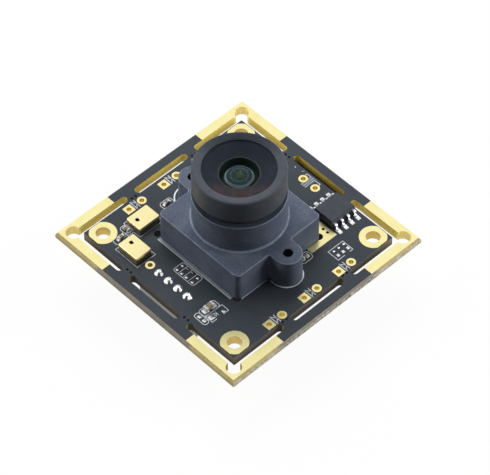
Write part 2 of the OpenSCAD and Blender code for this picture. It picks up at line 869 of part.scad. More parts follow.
module memory_chip() {
    height = chip_h - chip_standoff;
    color("dimgray") at_memory_chip() translate([0, 0, chip_standoff]) difference() {
        union() {
            translate([0, 0, lead_z + lead_t / 2 - chip_standoff]) {
                drafted_block(chip_w, chip_len, chip_h - lead_z - lead_t / 2, chip_draft);
            }
            translate([0, 0, lead_z + lead_t / 2 - chip_standoff]) mirror([0, 0, 1]) {
                drafted_block(chip_w, chip_len, lead_z + lead_t / 2 - chip_standoff, chip_draft);
            }
        }
        translate([chip_w / 2 - chip_draft, 0, height - chip_bevel]) rotate([0, 45, 0]) {
            translate([0, -chip_len, 0]) cube([chip_w, 2 * chip_len, chip_w]);
        }
    }
}

// One bent lead: out of the body, down, and a foot on the board
module bent_lead(body_edge, toe, out_z, t, width, foot) {
    heel = toe - foot;
    rotate([90, 0, 0]) linear_extrude(width, center = true) polygon([
        [body_edge, out_z], [body_edge, out_z + t], [heel - t / 2, out_z + t], [heel + t, t + tin_t],
        [toe, t + tin_t], [toe, tin_t], [heel, tin_t], [heel - t, out_z]
    ]);
}

module memory_leads() {
    color("silver") at_memory_chip() for (a = [0, 180]) rotate(a) for (i = [0:3]) {
        translate([0, (i - 1.5) * chip_pitch, 0]) {
            bent_lead(chip_w / 2, chip_span / 2, lead_z, lead_t, lead_w, foot_len);
        }
    }
}

// Chip parts on the lens side

module at_capacitors() {
    for (p = capacitor_places) translate([p[0], p[1], board_t + tin_t]) rotate(p[2]) {
        $part = p;
        children();
    }
}

module capacitor_bodies() {
    color("tan") at_capacitors() chip_middle($part[3]);
}

module capacitor_ends() {
    color("silver") at_capacitors() chip_ends($part[3]);
}

// Wire connector

module pin_solder() {
    color("silver") header_hole_places(pin_places) translate([0, 0, board_t + copper_t]) difference() {
        cylinder(d1 = fillet_d1, d2 = fillet_d2, h = fillet_h);
        translate([0, 0, -over]) block(pin_t, pin_t, pin_above + 2 * over);
    }
}

module connector_pins() {
    color("gold") header_hole_places(pin_places) translate([0, 0, -pin_below]) {
        block(pin_t, pin_t, pin_below + board_t + pin_above);
    }
}

module connector_housing() {
    inner_len = housing_len - 2 * housing_wall;
    inner_depth = housing_depth - 2 * housing_wall;
    color("white") difference() {
        translate([housing_x, header_y + housing_back - housing_depth / 2, -housing_h]) {
            difference() {
                block(housing_len, housing_depth, housing_h - copper_t);
                translate([0, 0, -over]) block(inner_len, inner_depth, key_slot_h + over);
                for (side = [-1, 1]) translate([side * housing_len * 0.3, housing_depth / 2, -over]) {
                    block(key_slot_w, 2 * housing_wall + hair, key_slot_h + over);
                }
            }
        }
        header_hole_places(pin_places) translate([0, 0, -housing_h]) {
            block(pin_t, pin_t, housing_h + over);
        }
    }
}

// Parts under the board

module under_board() {
    mirror([0, 0, 1]) children();
}

module at_processor() {
    translate([processor_at[0], processor_at[1], 0]) children();
}

module image_processor() {
    color("dimgray") under_board() at_processor() translate([0, 0, processor_standoff]) {
        block(processor_side, processor_side, processor_h - processor_standoff);
    }
}

module processor_pads() {
    per_side = floor((processor_side - 2 * processor_pad_inset) / processor_pad_pitch);
    edge = (processor_side - processor_pad_len) / 2;
    color("silver") under_board() at_processor() {
        block(processor_side * 0.6, processor_side * 0.6, processor_standoff);
        four_sides() for (i = [0:per_side]) {
            translate([(i - per_side / 2) * processor_pad_pitch, edge, 0]) {
                block(processor_pad_w, processor_pad_len, processor_standoff);
            }
        }
    }
}

module crystal_base() {
    color("dimgray") under_board() translate([crystal_at[0], crystal_at[1], 0]) {
        block(crystal_size[0], crystal_size[1], crystal_size[2]);
    }
}

module crystal_lid() {
    color("silver") under_board() translate([crystal_at[0], crystal_at[1], crystal_size[2]]) block(
        crystal_size[0] - 2 * crystal_lid_inset, crystal_size[1] - 2 * crystal_lid_inset, crystal_lid_t
    );
}

module power_inductor() {
    color("gray") under_board() translate([inductor_at[0], inductor_at[1], inductor_end_t]) {
        rounded_block(inductor_side, inductor_side, inductor_h - inductor_end_t, inductor_corner_r);
    }
}

module inductor_ends() {
    color("silver") under_board() for (side = [-1, 1]) {
        translate([inductor_at[0] + side * (inductor_side - inductor_end_len) / 2, inductor_at[1], 0]) {
            block(inductor_end_len, inductor_side * 0.7, inductor_end_t);
        }
    }
}

module at_regulators() {
    under_board() for (p = regulator_places) translate([p[0], p[1], 0]) rotate(p[2]) children();
}

module regulator_bodies() {
    color("dimgray") at_regulators() translate([0, 0, tin_t]) drafted_block(
        regulator_size[0], regulator_size[1], regulator_size[2] - tin_t, 0.08
    );
}

module regulator_leads() {
    color("silver") at_regulators() for (a = [90, 270]) rotate(a) for (i = [-1, 0, 1]) {
        if (a == 90 || i != 0) translate([0, i * regulator_pitch, -tin_t]) bent_lead(
            regulator_size[1] / 2, regulator_span / 2, 0.45, regulator_lead_t, regulator_lead_w, 0.4
        );
    }
}

module at_under_parts(places) {
    under_board() for (p = places) translate([p[0], p[1], 0]) rotate(p[2]) {
        $part = p;
        children();
    }
}

module underside_capacitors() {
    color("tan") at_under_parts(under_capacitors) chip_middle($part[3]);
}

module underside_capacitor_ends() {
    color("silver") at_under_parts(under_capacitors) chip_ends($part[3]);
}

module underside_resistors() {
    color("black") at_under_parts(under_resistors) chip_middle($part[3]);
}

module underside_resistor_ends() {
    color("silver") at_under_parts(under_resistors) chip_ends($part[3]);
}

circuit_board();
corner_pads();
mounting_rings();
round_pads();
square_pads();
ground_pad();
tinned_pads();
lens_holder();
holder_screws();
infrared_filter();
sensor_package();
sensor_die();
sensor_glass();
sensor_joints();
lens_barrel();
front_lens();
front_spacer();
second_lens();
aperture_stop();
third_lens();
middle_spacer();
fourth_lens();
rear_lens();
retaining_ring();
microphone_bases();
microphone_lids();
microphone_dies();
memory_chip();
memory_leads();
capacitor_bodies();
capacitor_ends();
pin_solder();
connector_pins();
connector_housing();
image_processor();
processor_pads();
crystal_base();
crystal_lid();
power_inductor();
inductor_ends();
regulator_bodies();
regulator_leads();
underside_capacitors();
underside_capacitor_ends();
underside_resistors();
underside_resistor_ends();
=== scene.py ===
"""Looks of the board camera module. Sizes are in millimetres, and make_piece scales them to metres."""

import math

import bmesh
import bpy
from mathutils import Matrix, Vector
from mathutils.geometry import tessellate_polygon


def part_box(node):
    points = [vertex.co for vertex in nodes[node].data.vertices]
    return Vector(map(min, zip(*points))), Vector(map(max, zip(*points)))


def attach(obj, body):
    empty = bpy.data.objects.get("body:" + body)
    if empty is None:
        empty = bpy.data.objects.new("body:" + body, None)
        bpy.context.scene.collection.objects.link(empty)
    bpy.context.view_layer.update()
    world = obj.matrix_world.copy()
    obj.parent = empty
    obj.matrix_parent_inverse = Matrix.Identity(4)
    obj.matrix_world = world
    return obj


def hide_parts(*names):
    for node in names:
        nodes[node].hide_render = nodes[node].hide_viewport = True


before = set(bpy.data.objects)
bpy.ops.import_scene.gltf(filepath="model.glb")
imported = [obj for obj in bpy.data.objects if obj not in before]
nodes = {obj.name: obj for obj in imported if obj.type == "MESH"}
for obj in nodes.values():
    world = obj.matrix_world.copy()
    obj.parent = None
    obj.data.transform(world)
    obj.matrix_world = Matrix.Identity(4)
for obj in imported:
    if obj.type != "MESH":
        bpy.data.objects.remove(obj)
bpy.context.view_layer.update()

MM = 0.001
SHARP = math.radians(32)


def extent(node):
    """Lowest and highest corner of a solid, in millimetres."""
    low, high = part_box(node)
    return low / MM, high / MM


# Places and sizes that the solids give
BOARD_HIGH = extent("circuit_board")[1]
TOP = BOARD_HIGH.z
HOLDER_HIGH = extent("lens_holder")[1]
BARREL_LOW, BARREL_HIGH = extent("lens_barrel")
LENS_X = (BARREL_LOW.x + BARREL_HIGH.x) / 2
RIM_Z = BARREL_HIGH.z
COPPER = extent("corner_pads")[1].z - TOP

# Lens holder, with upright corners that are a little rounder than the solid's, as in the photo
BASE_HALF = 8.4
BASE_H = 5.1
DRAFT = 0.06
CORNER_R = 0.85
EAR_AT = 10
EAR_R = 2.15
EAR_FILLET = 0.4
PILOT_R = 0.73
SCREW_CUT_R = 1.0
SCREW_CUT_H = 3.42
TOWER_R = 7.05
FOOT_FILLET = 0.3
CAVITY_HALF = 7.0
ROOF_H = 4.0
SEAT_H = 4.55
SEAT_HALF = 4.2
WINDOW_R = 3.5
BORE_R = 6.05

# Lens
HEAD_R = 6.95
HEAD_LOW = RIM_Z - 3.95
THREAD_R = 6.0
THREAD_CORE = 5.74
THREAD_PITCH = 0.5
RECESS_R = 5.45
OPENING_R = 2.94
GLASS_R = 2.2
FRONT_BORE_R = 3.5
REAR_BORE_R = 4.3
RIM_ROUND = 0.38

# Board: end of the inner board, start of the rail, middle of its slots, and depth of the outer edges
CORE_HALF = 16
RAIL_FROM = 16.5
SLOT_MID = 16.6
OUTER_FACE = BOARD_HIGH.x - 0.32
SCORED_WEB = BOARD_HIGH.x - 0.06

# Lamp positions and connector pins
LAMP_RIGHT_X = 15.1
LAMP_LEFT_X = -14.7
LAMP_ROWS = (-6.95, 0.05, 7.05)
PIN_XS = (-2.75, -0.75, 1.25, 3.25)
PIN_Y = -13.1
PIN_HALF = 0.25

# Printed lines: thickness, and a limit that keeps the mitres of sharp corners short
PRINT_T = 0.012
LEAST_MITRE = 0.35


# Mesh building

def rounded_rect(width, height, radius, steps=5):
    """Points of a rectangle with round corners, anticlockwise round the origin."""
    points = []
    centres = ((1, 1, 0), (-1, 1, 90), (-1, -1, 180), (1, -1, 270))
    for sx, sy, start in centres:
        cx, cy = sx * (width / 2 - radius), sy * (height / 2 - radius)
        points += arc(cx, cy, radius, start, start + 90, steps)
    return points


def arc(cx, cy, radius, start, end, steps):
    """Points on an arc, with angles in degrees."""
    angles = [math.radians(start + (end - start) * i / steps) for i in range(steps + 1)]
    return [(cx + radius * math.cos(a), cy + radius * math.sin(a)) for a in angles]


def circle(cx, cy, radius, steps):
    return arc(cx, cy, radius, 0, 360 - 360 / steps, steps - 1)


def at_height(points, z):
    return [(x, y, z) for x, y in points]


def place(x, y, turn=0):
    """A matrix that moves and turns what was drawn round the origin of the board's upper face."""
    return Matrix.Translation((x, y, 0)) @ Matrix.Rotation(math.radians(turn), 4, "Z")


def box_points(x0, y0, x1, y1):
    return [(x0, y0), (x1, y0), (x1, y1), (x0, y1)]


def add_loops(bm, rings, spot=None):
    spot = spot or Matrix.Identity(4)
    return [[bm.verts.new(spot @ Vector(p)) for p in ring] for ring in rings]


def skin(bm, low, high):
    """Quads between two loops of as many points."""
    count = len(low)
    for i in range(count):
        j = (i + 1) % count
        bm.faces.new((low[i], low[j], high[j], high[i]))


def loft(bm, rings, start=True, end=True, spot=None):
    """A skin over rings of as many points each, with or without its two end faces."""
    loops = add_loops(bm, rings, spot)
    for low, high in zip(loops, loops[1:]):
        skin(bm, low, high)
    if start:
        bm.faces.new(list(reversed(loops[0])))
    if end:
        bm.faces.new(loops[-1])
    return loops


def fill(bm, outer, holes, up=True):
    """A flat face inside one loop and round the others."""
    loops = [outer] + list(holes)
    flat = [v for loop in loops for v in loop]
    for triangle in tessellate_polygon([[v.co for v in loop] for loop in loops]):
        corners = [flat[i] for i in triangle]
        side = (corners[1].co - corners[0].co).cross(corners[2].co - corners[0].co)
        if side.length < 1e-12:
            continue
        if (side.z > 0) != up:
            corners.reverse()
        bm.faces.new(corners)


def lathe(bm, profile, x=0, y=0, steps=64, closed=False, spot=None):
    """Turns a profile of (radius, height) points round an upright axis, with a point at radius 0."""
    spot = spot or Matrix.Identity(4)
    loops = []
    for radius, z in profile:
        if radius < 1e-6:
            loops.append([bm.verts.new(spot @ Vector((x, y, z)))])
        else:
            loops.append(add_loops(bm, [at_height(circle(x, y, radius, steps), z)], spot)[0])
    pairs = list(zip(loops, loops[1:]))
    if closed:
        pairs.append((loops[-1], loops[0]))
    for low, high in pairs:
        if len(low) == 1 or len(high) == 1:
            point, ring = (low[0], high) if len(low) == 1 else (high[0], low)
            for i in range(steps):
                bm.faces.new((point, ring[i], ring[(i + 1) % steps]))
        else:
            skin(bm, low, high)
    return loops


def soft_edge(outline, top, edge, steps):
    """Rings of a rounded upper edge, where outline gives the points at an inset and a height."""
    rings = []
    for step in range(steps + 1):
        angle = math.radians(90 * step / steps)
        z = top - edge + edge * math.sin(angle)
        rings.append(at_height(outline(edge * (1 - math.cos(angle)), z), z))
    return rings


def shrinking_rect(width, depth, corner):
    """An outline for soft_edge: a rounded rectangle that gets smaller with the inset."""
    return lambda inset, z: rounded_rect(width - 2 * inset, depth - 2 * inset, corner - inset)


def soft_block(bm, width, depth, low, high, spot, corner=0.05, edge=0.04, foot=0.01):
    """A block with round upright corners, a soft top edge and a small bevel at its foot."""
    least = 0.004

    def outline(inset, _=None):
        return rounded_rect(width - 2 * inset, depth - 2 * inset, max(corner - inset / 2, least), 3)
    rings = [at_height(outline(foot), low), at_height(outline(0), low + foot)]
    loft(bm, rings + soft_edge(outline, high, edge, 3), spot=spot)


def stroke(bm, points, width, closed=False):
    """A printed line with mitred corners and square ends, lying on the board."""
    pts = [Vector(p) for p in points]
    count = len(pts)
    high = TOP + PRINT_T
    rings = []
    for i, p in enumerate(pts):
        ways = []
        if closed or i > 0:
            ways.append((p - pts[i - 1]).normalized())
        if closed or i < count - 1:
            ways.append((pts[(i + 1) % count] - p).normalized())
        way = sum(ways, Vector((0, 0))).normalized()
        normal = Vector((-way.y, way.x))
        first = Vector((-ways[0].y, ways[0].x))
        reach = width / 2 / max(normal.dot(first), LEAST_MITRE)
        a, b = p + normal * reach, p - normal * reach
        ring = ((a.x, a.y, TOP), (a.x, a.y, high), (b.x, b.y, high), (b.x, b.y, TOP))
        rings.append([bm.verts.new(corner) for corner in ring])
    for one, other in zip(rings, rings[1:] + rings[:1] if closed else rings[1:]):
        skin(bm, one, other)
    if not closed:
        bm.faces.new(rings[0])
        bm.faces.new(list(reversed(rings[-1])))


def bent_strip(bm, path, thick, width, spot, corner=0.16):
    """A flat metal strip along a path of (out, height) points, with its bends rounded."""
    smooth = [Vector(path[0])]
    for a, b, c in zip(path, path[1:], path[2:]):
        a, b, c = Vector(a), Vector(b), Vector(c)
        cut = min(corner, (b - a).length / 2, (c - b).length / 2)
        start = b + (a - b).normalized() * cut
        end = b + (c - b).normalized() * cut
        for i in range(5):
            t = i / 4
            smooth.append(start * (1 - t) ** 2 + b * 2 * t * (1 - t) + end * t ** 2)
    smooth.append(Vector(path[-1]))
    rings = []
    for i, p in enumerate(smooth):
        way = (smooth[min(i + 1, len(smooth) - 1)] - smooth[max(i - 1, 0)]).normalized()
        normal = Vector((-way.y, way.x)) * thick / 2
        high, under = p + normal, p - normal
        rings.append([
            (high.x, -width / 2, high.y), (high.x, width / 2, high.y),
            (under.x, width / 2, under.y), (under.x, -width / 2, under.y),
        ])
    loft(bm, rings, spot=spot)


def add_object(name, data):
    thing = bpy.data.objects.new(name, data)
    bpy.context.scene.collection.objects.link(thing)
    return thing


def finished_mesh(name, bm, material):
    mesh = bpy.data.meshes.new(name)
    bm.to_mesh(mesh)
    bm.free()
    mesh.materials.append(material)
    return mesh


def make_piece(name, bm, material, slot, replaces=(), marks=None):
    """Turns the mesh into a piece of the object: scaled, shaded and riding on the only body.

    marks gives a name and a function of a point in millimetres, whose value goes to the material.
    """
    bmesh.ops.remove_doubles(bm, verts=bm.verts, dist=1e-5)
    bmesh.ops.recalc_face_normals(bm, faces=bm.faces)
    bmesh.ops.scale(bm, vec=(MM, MM, MM), verts=bm.verts)
    for face in bm.faces:
        face.smooth = True
    for edge in bm.edges:
        edge.smooth = len(edge.link_faces) == 2 and edge.calc_face_angle(0) < SHARP
    mesh = finished_mesh(name, bm, material)
    if marks:
        title, value = marks
        layer = mesh.attributes.new(title, "FLOAT", "POINT")
        for point, item in zip(mesh.vertices, layer.data):
            item.value = value(point.co / MM)
    piece = add_object(name, mesh)
    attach(piece, "root")
    if replaces:
        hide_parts(*replaces)


# Materials

class Shading:
    """The nodes of a material or a world, added and linked in few words."""

    def __init__(self, owner):
        owner.use_nodes = True
        self.tree = owner.node_tree

    def feed(self, node, inputs):
        """Gives each input, by its name or number, a fixed value or the output of another node."""
        for name, value in dict(inputs).items():
            if isinstance(value, bpy.types.NodeSocket):
                self.tree.links.new(value, node.inputs[name])
            else:
                node.inputs[name].default_value = value

    def add(self, kind, inputs=(), **settings):
        node = self.tree.nodes.new(kind)
        for name, value in settings.items():
            setattr(node, name, value)
        self.feed(node, inputs)
        return node

    def maths(self, kind, *values):
        return self.add("ShaderNodeMath", enumerate(values), operation=kind).outputs["Value"]

    def remap(self, factor, low, high, start=0.3, end=0.7):
        """Takes a factor from between start and end to between low and high."""
        names = ("Value", "From Min", "From Max", "To Min", "To Max")
        node = self.add("ShaderNodeMapRange", zip(names, (factor, start, end, low, high)))
        return node.outputs["Result"]

    def rays(self, *names):
        """1 for the rays of these kinds, and 0 for all others."""
        path = self.add("ShaderNodeLightPath")
        total = path.outputs[names[0]]
        for name in names[1:]:
            total = self.maths("MAXIMUM", total, path.outputs[name])
        return total

    def mix_shaders(self, factor, low, high):
        return self.add("ShaderNodeMixShader", enumerate((factor, low.outputs[0], high.outputs[0])))


class Look(Shading):
    """A procedural material: a shader whose colour, roughness and relief vary over the surface."""

    def __init__(self, name):
        self.material = bpy.data.materials.new(name)
        super().__init__(self.material)
        self.shader = self.tree.nodes["Principled BSDF"]
        self.coords = self.add("ShaderNodeTexCoord").outputs["Object"]

    def coat(self, color, rough, metal=0, specular=0.5, tint=(1, 1, 1)):
        """Fills the shader's inputs and gives back the material."""
        self.feed(self.shader, {
            "Base Color": color, "Roughness": rough, "Metallic": metal,
            "Specular IOR Level": specular, "Specular Tint": (*tint, 1),
        })
        return self.material

    def noise(self, size_mm, detail=3, rough=0.55, stretch=(1, 1, 1)):
        """Noise from 0 to 1 whose patches are about size_mm across."""
        mapping = self.add("ShaderNodeMapping", {"Vector": self.coords, "Scale": stretch})
        values = {"Scale": 1 / (size_mm * MM), "Detail": detail, "Roughness": rough}
        node = self.add("ShaderNodeTexNoise", {"Vector": mapping.outputs["Vector"], **values})
        return node.outputs["Fac"]

    def blend(self, factor, stops):
        """Several colours along a factor: (position, colour) pairs."""
        node = self.add("ShaderNodeValToRGB", {"Fac": factor})
        ramp = node.color_ramp
        while len(ramp.elements) < len(stops):
            ramp.elements.new(0.5)
        for element, (position, color) in zip(ramp.elements, stops):
            element.position = position
            element.color = (*color, 1)
        return node.outputs["Color"]

    def ramp(self, factor, low, high, start=0.3, end=0.7):
        """Two colours, mixed by a factor between two limits."""
        return self.blend(factor, ((start, low), (end, high)))

    def mix(self, factor, low, high):
        """Two colours mixed by a factor: inputs 6 and 7 of the node. The result is output 2."""
        return self.add("ShaderNodeMix", {"Factor": factor, 6: low, 7: high}, data_type="RGBA").outputs[2]

    def rise(self, length, start, end):
        """From 0 to 1 while a length grows from start to end, in millimetres."""
        return self.remap(length, 0, 1, start * MM, end * MM)

    def over(self, length, limit):
        """1 where a length is more than a limit in millimetres, and 0 elsewhere."""
        return self.maths("GREATER_THAN", length, limit * MM)

    def under(self, length, limit):
        return self.maths("LESS_THAN", length, limit * MM)

    def parts(self, vector):
        node = self.add("ShaderNodeSeparateXYZ", {"Vector": vector})
        return [node.outputs[name] for name in "XYZ"]

    def axes(self):
        """The coordinates X, Y and Z of the surface, in metres."""
        return self.parts(self.coords)

    def diagonal(self, a, b):
        squares = self.maths("ADD", self.maths("MULTIPLY", a, a), self.maths("MULTIPLY", b, b))
        return self.maths("SQRT", squares)

    def from_lens(self):
        """Distance from the lens's axis, in metres."""
        x, y, _ = self.axes()
        return self.diagonal(self.maths("SUBTRACT", x, LENS_X * MM), y)

    def flatness(self):
        """1 on level faces and 0 on upright ones."""
        normal = self.add("ShaderNodeNewGeometry").outputs["True Normal"]
        return self.maths("GREATER_THAN", self.maths("ABSOLUTE", self.parts(normal)[2]), 0.7)

    def marked(self, name):
        """What make_piece stored at the mesh's points under this name."""
        return self.add("ShaderNodeAttribute", attribute_name=name).outputs["Fac"]

    def relief(self, height, depth_mm, strength=1.0):
        """Adds bumps on top of the ones that are there."""
        values = {"Height": height, "Distance": depth_mm * MM, "Strength": strength}
        bump = self.add("ShaderNodeBump", values)
        normal = self.shader.inputs["Normal"]
        if normal.is_linked:
            self.feed(bump, {"Normal": normal.links[0].from_socket})
        self.feed(self.shader, {"Normal": bump.outputs["Normal"]})


def shade(color, factor):
    return tuple(min(c * factor, 1) for c in color)


def plain_look(name, color, rough, vary=0.12, size=1.2, grain=0.12, depth=0.004, metal=0, specular=0.5):
    """The common finish: patches of slightly different colour and roughness over a fine grain."""
    look = Look(name)
    patches = look.ramp(look.noise(size), shade(color, 1 - vary), shade(color, 1 + vary))
    look.relief(look.noise(grain, 2), depth)
    return look.coat(patches, look.remap(look.noise(size / 3), rough * 0.85, rough * 1.15), metal, specular)


def board_look():
    """Dark solder mask on the faces, laminate on the cut edges and a painted golden glow on the rail's inner
    walls.
    """
    look = Look("board")
    maths, ramp, mix = look.maths, look.ramp, look.mix
    cloudy, broad = look.noise(5), look.noise(1.5)
    torn = look.noise(0.65, 3, 0.7)
    fibres = look.noise(0.22, 4, 0.7, stretch=(1, 1, 2.5))
    weave, weft = (look.noise(0.35, 2, stretch=stretch) for stretch in ((1, 6, 1), (6, 1, 1)))
    x, y, z = look.axes()
    out_x, out_y = maths("ABSOLUTE", x), maths("ABSOLUTE", y)
    reach, nearer = maths("MAXIMUM", out_x, out_y), maths("MINIMUM", out_x, out_y)

    # Inner board: its walls are paler towards the corners, painted light, and its bores are near black,
    # painted shade, and paler by the tabs
    walls = mix(look.rise(nearer, 11.5, 15), ramp(broad, (0.13, 0.12, 0.11), (0.17, 0.155, 0.14)),
                ramp(broad, (0.24, 0.20, 0.15), (0.31, 0.265, 0.20)))
    bores = mix(look.rise(reach, 14, 15), ramp(broad, (0.012, 0.011, 0.010), (0.022, 0.020, 0.018)),
                ramp(broad, (0.085, 0.076, 0.064), (0.130, 0.116, 0.098)))
    inner = mix(look.under(reach, CORE_HALF - 0.25), walls, bores)

    # Rail: its inner walls get a painted golden glow and a painted metallic sheen, for light through the
    # laminate: strongest by the corner pads, duller on the two near sides, with painted shade on their lower
    # part
    lower_shade = look.remap(z, 1, 0, 0.45 * TOP * MM, 0.75 * TOP * MM)
    olive = mix(lower_shade, ramp(broad, (0.72, 0.56, 0.10), (0.84, 0.66, 0.14)),
                ramp(broad, (0.62, 0.50, 0.12), (0.72, 0.58, 0.15)))
    golden = mix(lower_shade, ramp(broad, (0.76, 0.61, 0.12), (0.86, 0.70, 0.17)),
                 ramp(broad, (0.72, 0.57, 0.15), (0.80, 0.65, 0.20)))
    in_relief = look.over(nearer, CORE_HALF - 0.4)
    bright = mix(in_relief, mix(look.rise(nearer, 6.0, 7.5), olive, golden),
                 ramp(broad, (0.90, 0.77, 0.34), (0.97, 0.85, 0.44)))
    near_corner = 28
    far_relief = maths("MULTIPLY", in_relief, look.under(maths("SUBTRACT", x, y), near_corner))
    near_rail = look.over(maths("MAXIMUM", x, maths("MULTIPLY", y, -1.0)), RAIL_FROM - 0.1)
    unlit_near_rails = maths("MULTIPLY", near_rail, maths("SUBTRACT", 1.0, far_relief))
    rail_glow = mix(unlit_near_rails, bright, ramp(broad, (0.26, 0.21, 0.07), (0.34, 0.28, 0.10)))

    # Outer edges: sawn on the faces, snapped on the web that the score leaves, more yellow at the pads
    at_pads = look.rise(nearer, 9.6, 10.4)
    sawn = mix(at_pads, ramp(broad, (0.38, 0.34, 0.27), (0.50, 0.45, 0.36)),
               ramp(broad, (0.72, 0.58, 0.25), (0.90, 0.75, 0.36)))
    snapped = mix(at_pads, ramp(torn, (0.30, 0.25, 0.18), (0.86, 0.82, 0.74), 0.40, 0.60),
                  ramp(torn, (0.66, 0.57, 0.29), (1.0, 0.98, 0.86), 0.38, 0.62))
    outer = mix(look.over(out_x, SCORED_WEB), sawn, snapped)

    flat, outside = look.flatness(), look.over(reach, OUTER_FACE)
    upright = maths("SUBTRACT", 1.0, flat)
    on_rail = look.rise(reach, RAIL_FROM - 0.1, RAIL_FROM + 0.1)
    edge = mix(outside, mix(on_rail, inner, rail_glow), outer)
    mask = ramp(cloudy, (0.029, 0.037, 0.047), (0.039, 0.047, 0.057))
    # painted sheen: the rail's inner walls are partly metallic
    rail_sheen_mask = maths("MULTIPLY", maths("MULTIPLY", on_rail, upright), maths("SUBTRACT", 1.0, outside))
    edge_rough, mask_gloss, sheen = 0.78, 0.30, 0.8
    rough = maths("ADD", maths("MULTIPLY", flat, -mask_gloss), edge_rough)
    look.relief(maths("ADD", weave, weft), 0.004, 0.5)
    look.relief(maths("MULTIPLY", fibres, maths("MULTIPLY", upright, outside)), 0.03)
    return look.coat(mix(flat, edge, mask), maths("ADD", rough, look.remap(cloudy, -0.03, 0.03)),
                     maths("MULTIPLY", rail_sheen_mask, sheen), 0.26)


def gold_look(name, bore_low, bore_high):
    """Bright gold plating, with painted shade that makes it darker and browner on upright faces such as the
    walls of the holes.
    """
    look = Look(name)
    patches = look.noise(2.0)
    face = look.ramp(patches, (0.92, 0.83, 0.39), (0.97, 0.89, 0.47))
    # painted shade: the upright faces and hole walls take the darker, browner tones
    bore = look.ramp(patches, bore_low, bore_high)
    look.relief(look.noise(0.3, 2), 0.0008)
    return look.coat(look.mix(look.flatness(), bore, face), look.remap(look.noise(0.8), 0.28, 0.36), 1.0)


def holder_look():
    """Grey-blue moulding with a fine bright speckle, painted highlights on its rounded edges and fillets,
    and painted shade in the pilot holes and on the tower's top face.
    """
    look = Look("holder")
    clouds = look.noise(3.2, 2)
    body = look.ramp(clouds, (0.084, 0.102, 0.146), (0.118, 0.138, 0.184))
    fleck_and_highlight = look.ramp(clouds, (0.24, 0.27, 0.36), (0.30, 0.33, 0.42))
    shaded_tower_top = look.ramp(clouds, (0.052, 0.062, 0.088), (0.072, 0.083, 0.112))
    pilot_hole_shade = look.ramp(look.noise(0.4), (0.006, 0.007, 0.009), (0.012, 0.013, 0.016))
    fleck = look.remap(look.noise(0.20, 2, 0.6), 0, 0.45, 0.52, 0.78)
    # painted highlight: the rounded edges and fillets are lightened where they would catch light
    edge_glint = look.maths("MULTIPLY", look.marked("edge_highlight"), look.remap(look.noise(0.5), 0.45, 1.0))
    x, y, z = look.axes()
    out_x = look.maths("ABSOLUTE", look.maths("SUBTRACT", x, LENS_X * MM))
    from_ear = look.diagonal(look.maths("SUBTRACT", out_x, EAR_AT * MM), y)
    color = look.mix(look.maths("MAXIMUM", fleck, edge_glint), body, fleck_and_highlight)
    # painted shade on the tower's top face, under the lens head
    color = look.mix(look.over(z, HOLDER_HIGH.z - 0.02), color, shaded_tower_top)
    # painted shade in the pilot holes
    color = look.mix(look.under(from_ear, PILOT_R + 0.03), color, pilot_hole_shade)
    look.relief(look.noise(0.16, 2), 0.008)
    return look.coat(color, look.remap(look.noise(0.6), 0.50, 0.62), specular=0.13, tint=(0.65, 0.88, 1.0))


def barrel_look():
    """Satin black outside with painted shade on the far half of its flat faces, a darker baffle with a
    painted brown sheen on its near side, a painted highlight on the opening's edge and a black well round
    the lens.
    """
    look = Look("barrel")
    satin = look.noise(1.4)
    x, y, _ = look.axes()
    along = look.maths("SUBTRACT", x, y)
    sheen_side = look.rise(along, LENS_X + 2.0, LENS_X + 7.5)
    # painted shade: the flat faces turn darker towards the far side of the lens
    far_rim_shade = look.remap(along, 1, 0, (LENS_X - 8.6) * MM, (LENS_X - 3.0) * MM)
    outside = look.mix(look.maths("MULTIPLY", far_rim_shade, look.flatness()),
                       look.ramp(satin, (0.058, 0.066, 0.082), (0.072, 0.080, 0.096)),
                       look.ramp(satin, (0.022, 0.026, 0.033), (0.028, 0.033, 0.040)))
    # painted brown sheen on the near side of the baffle
    baffle = look.mix(sheen_side, look.ramp(look.noise(2.4), (0.010, 0.014, 0.020), (0.018, 0.020, 0.028)),
                      look.ramp(look.noise(1.2), (0.024, 0.017, 0.019), (0.046, 0.030, 0.028)))
    # painted highlight: a paler ring on the edge of the opening
    opening_highlight = look.ramp(look.noise(0.6), (0.050, 0.046, 0.042), (0.070, 0.064, 0.058))
    well = look.ramp(look.noise(0.8), (0.005, 0.014, 0.012), (0.010, 0.022, 0.019))
    radius = look.from_lens()
    inside = look.under(radius, RECESS_R + 0.03)
    opening = look.mix(look.under(radius, OPENING_R + 0.01), opening_highlight, well)
    color = look.mix(look.under(radius, OPENING_R + 0.13), look.mix(inside, outside, baffle), opening)
    rough = look.maths("ADD", look.remap(look.noise(0.5), 0.38, 0.48), look.maths("MULTIPLY", inside, 0.18))
    look.relief(look.noise(0.14, 2), 0.003)
    return look.coat(color, rough, specular=0.13, tint=(0.65, 0.85, 1.0))


def lid_look():
    """Satin gold plating with painted shade that turns it brown towards the foot of the lid."""
    look = Look("lid_gold")
    bright = look.ramp(look.noise(1.6), (0.94, 0.83, 0.44), (0.99, 0.88, 0.48))
    # painted shade on the lower sides of the lid
    foot_shade = look.ramp(look.noise(0.5), (0.16, 0.11, 0.06), (0.28, 0.20, 0.11))
    low, high = extent("microphone_lids")
    height = high.z - low.z
    risen = look.rise(look.axes()[2], low.z + 0.30 * height, low.z + 0.78 * height)
    look.relief(look.noise(0.6, 2), 0.0006)
    return look.coat(look.mix(risen, foot_shade, bright), look.remap(look.noise(0.9), 0.38, 0.46), 1.0)


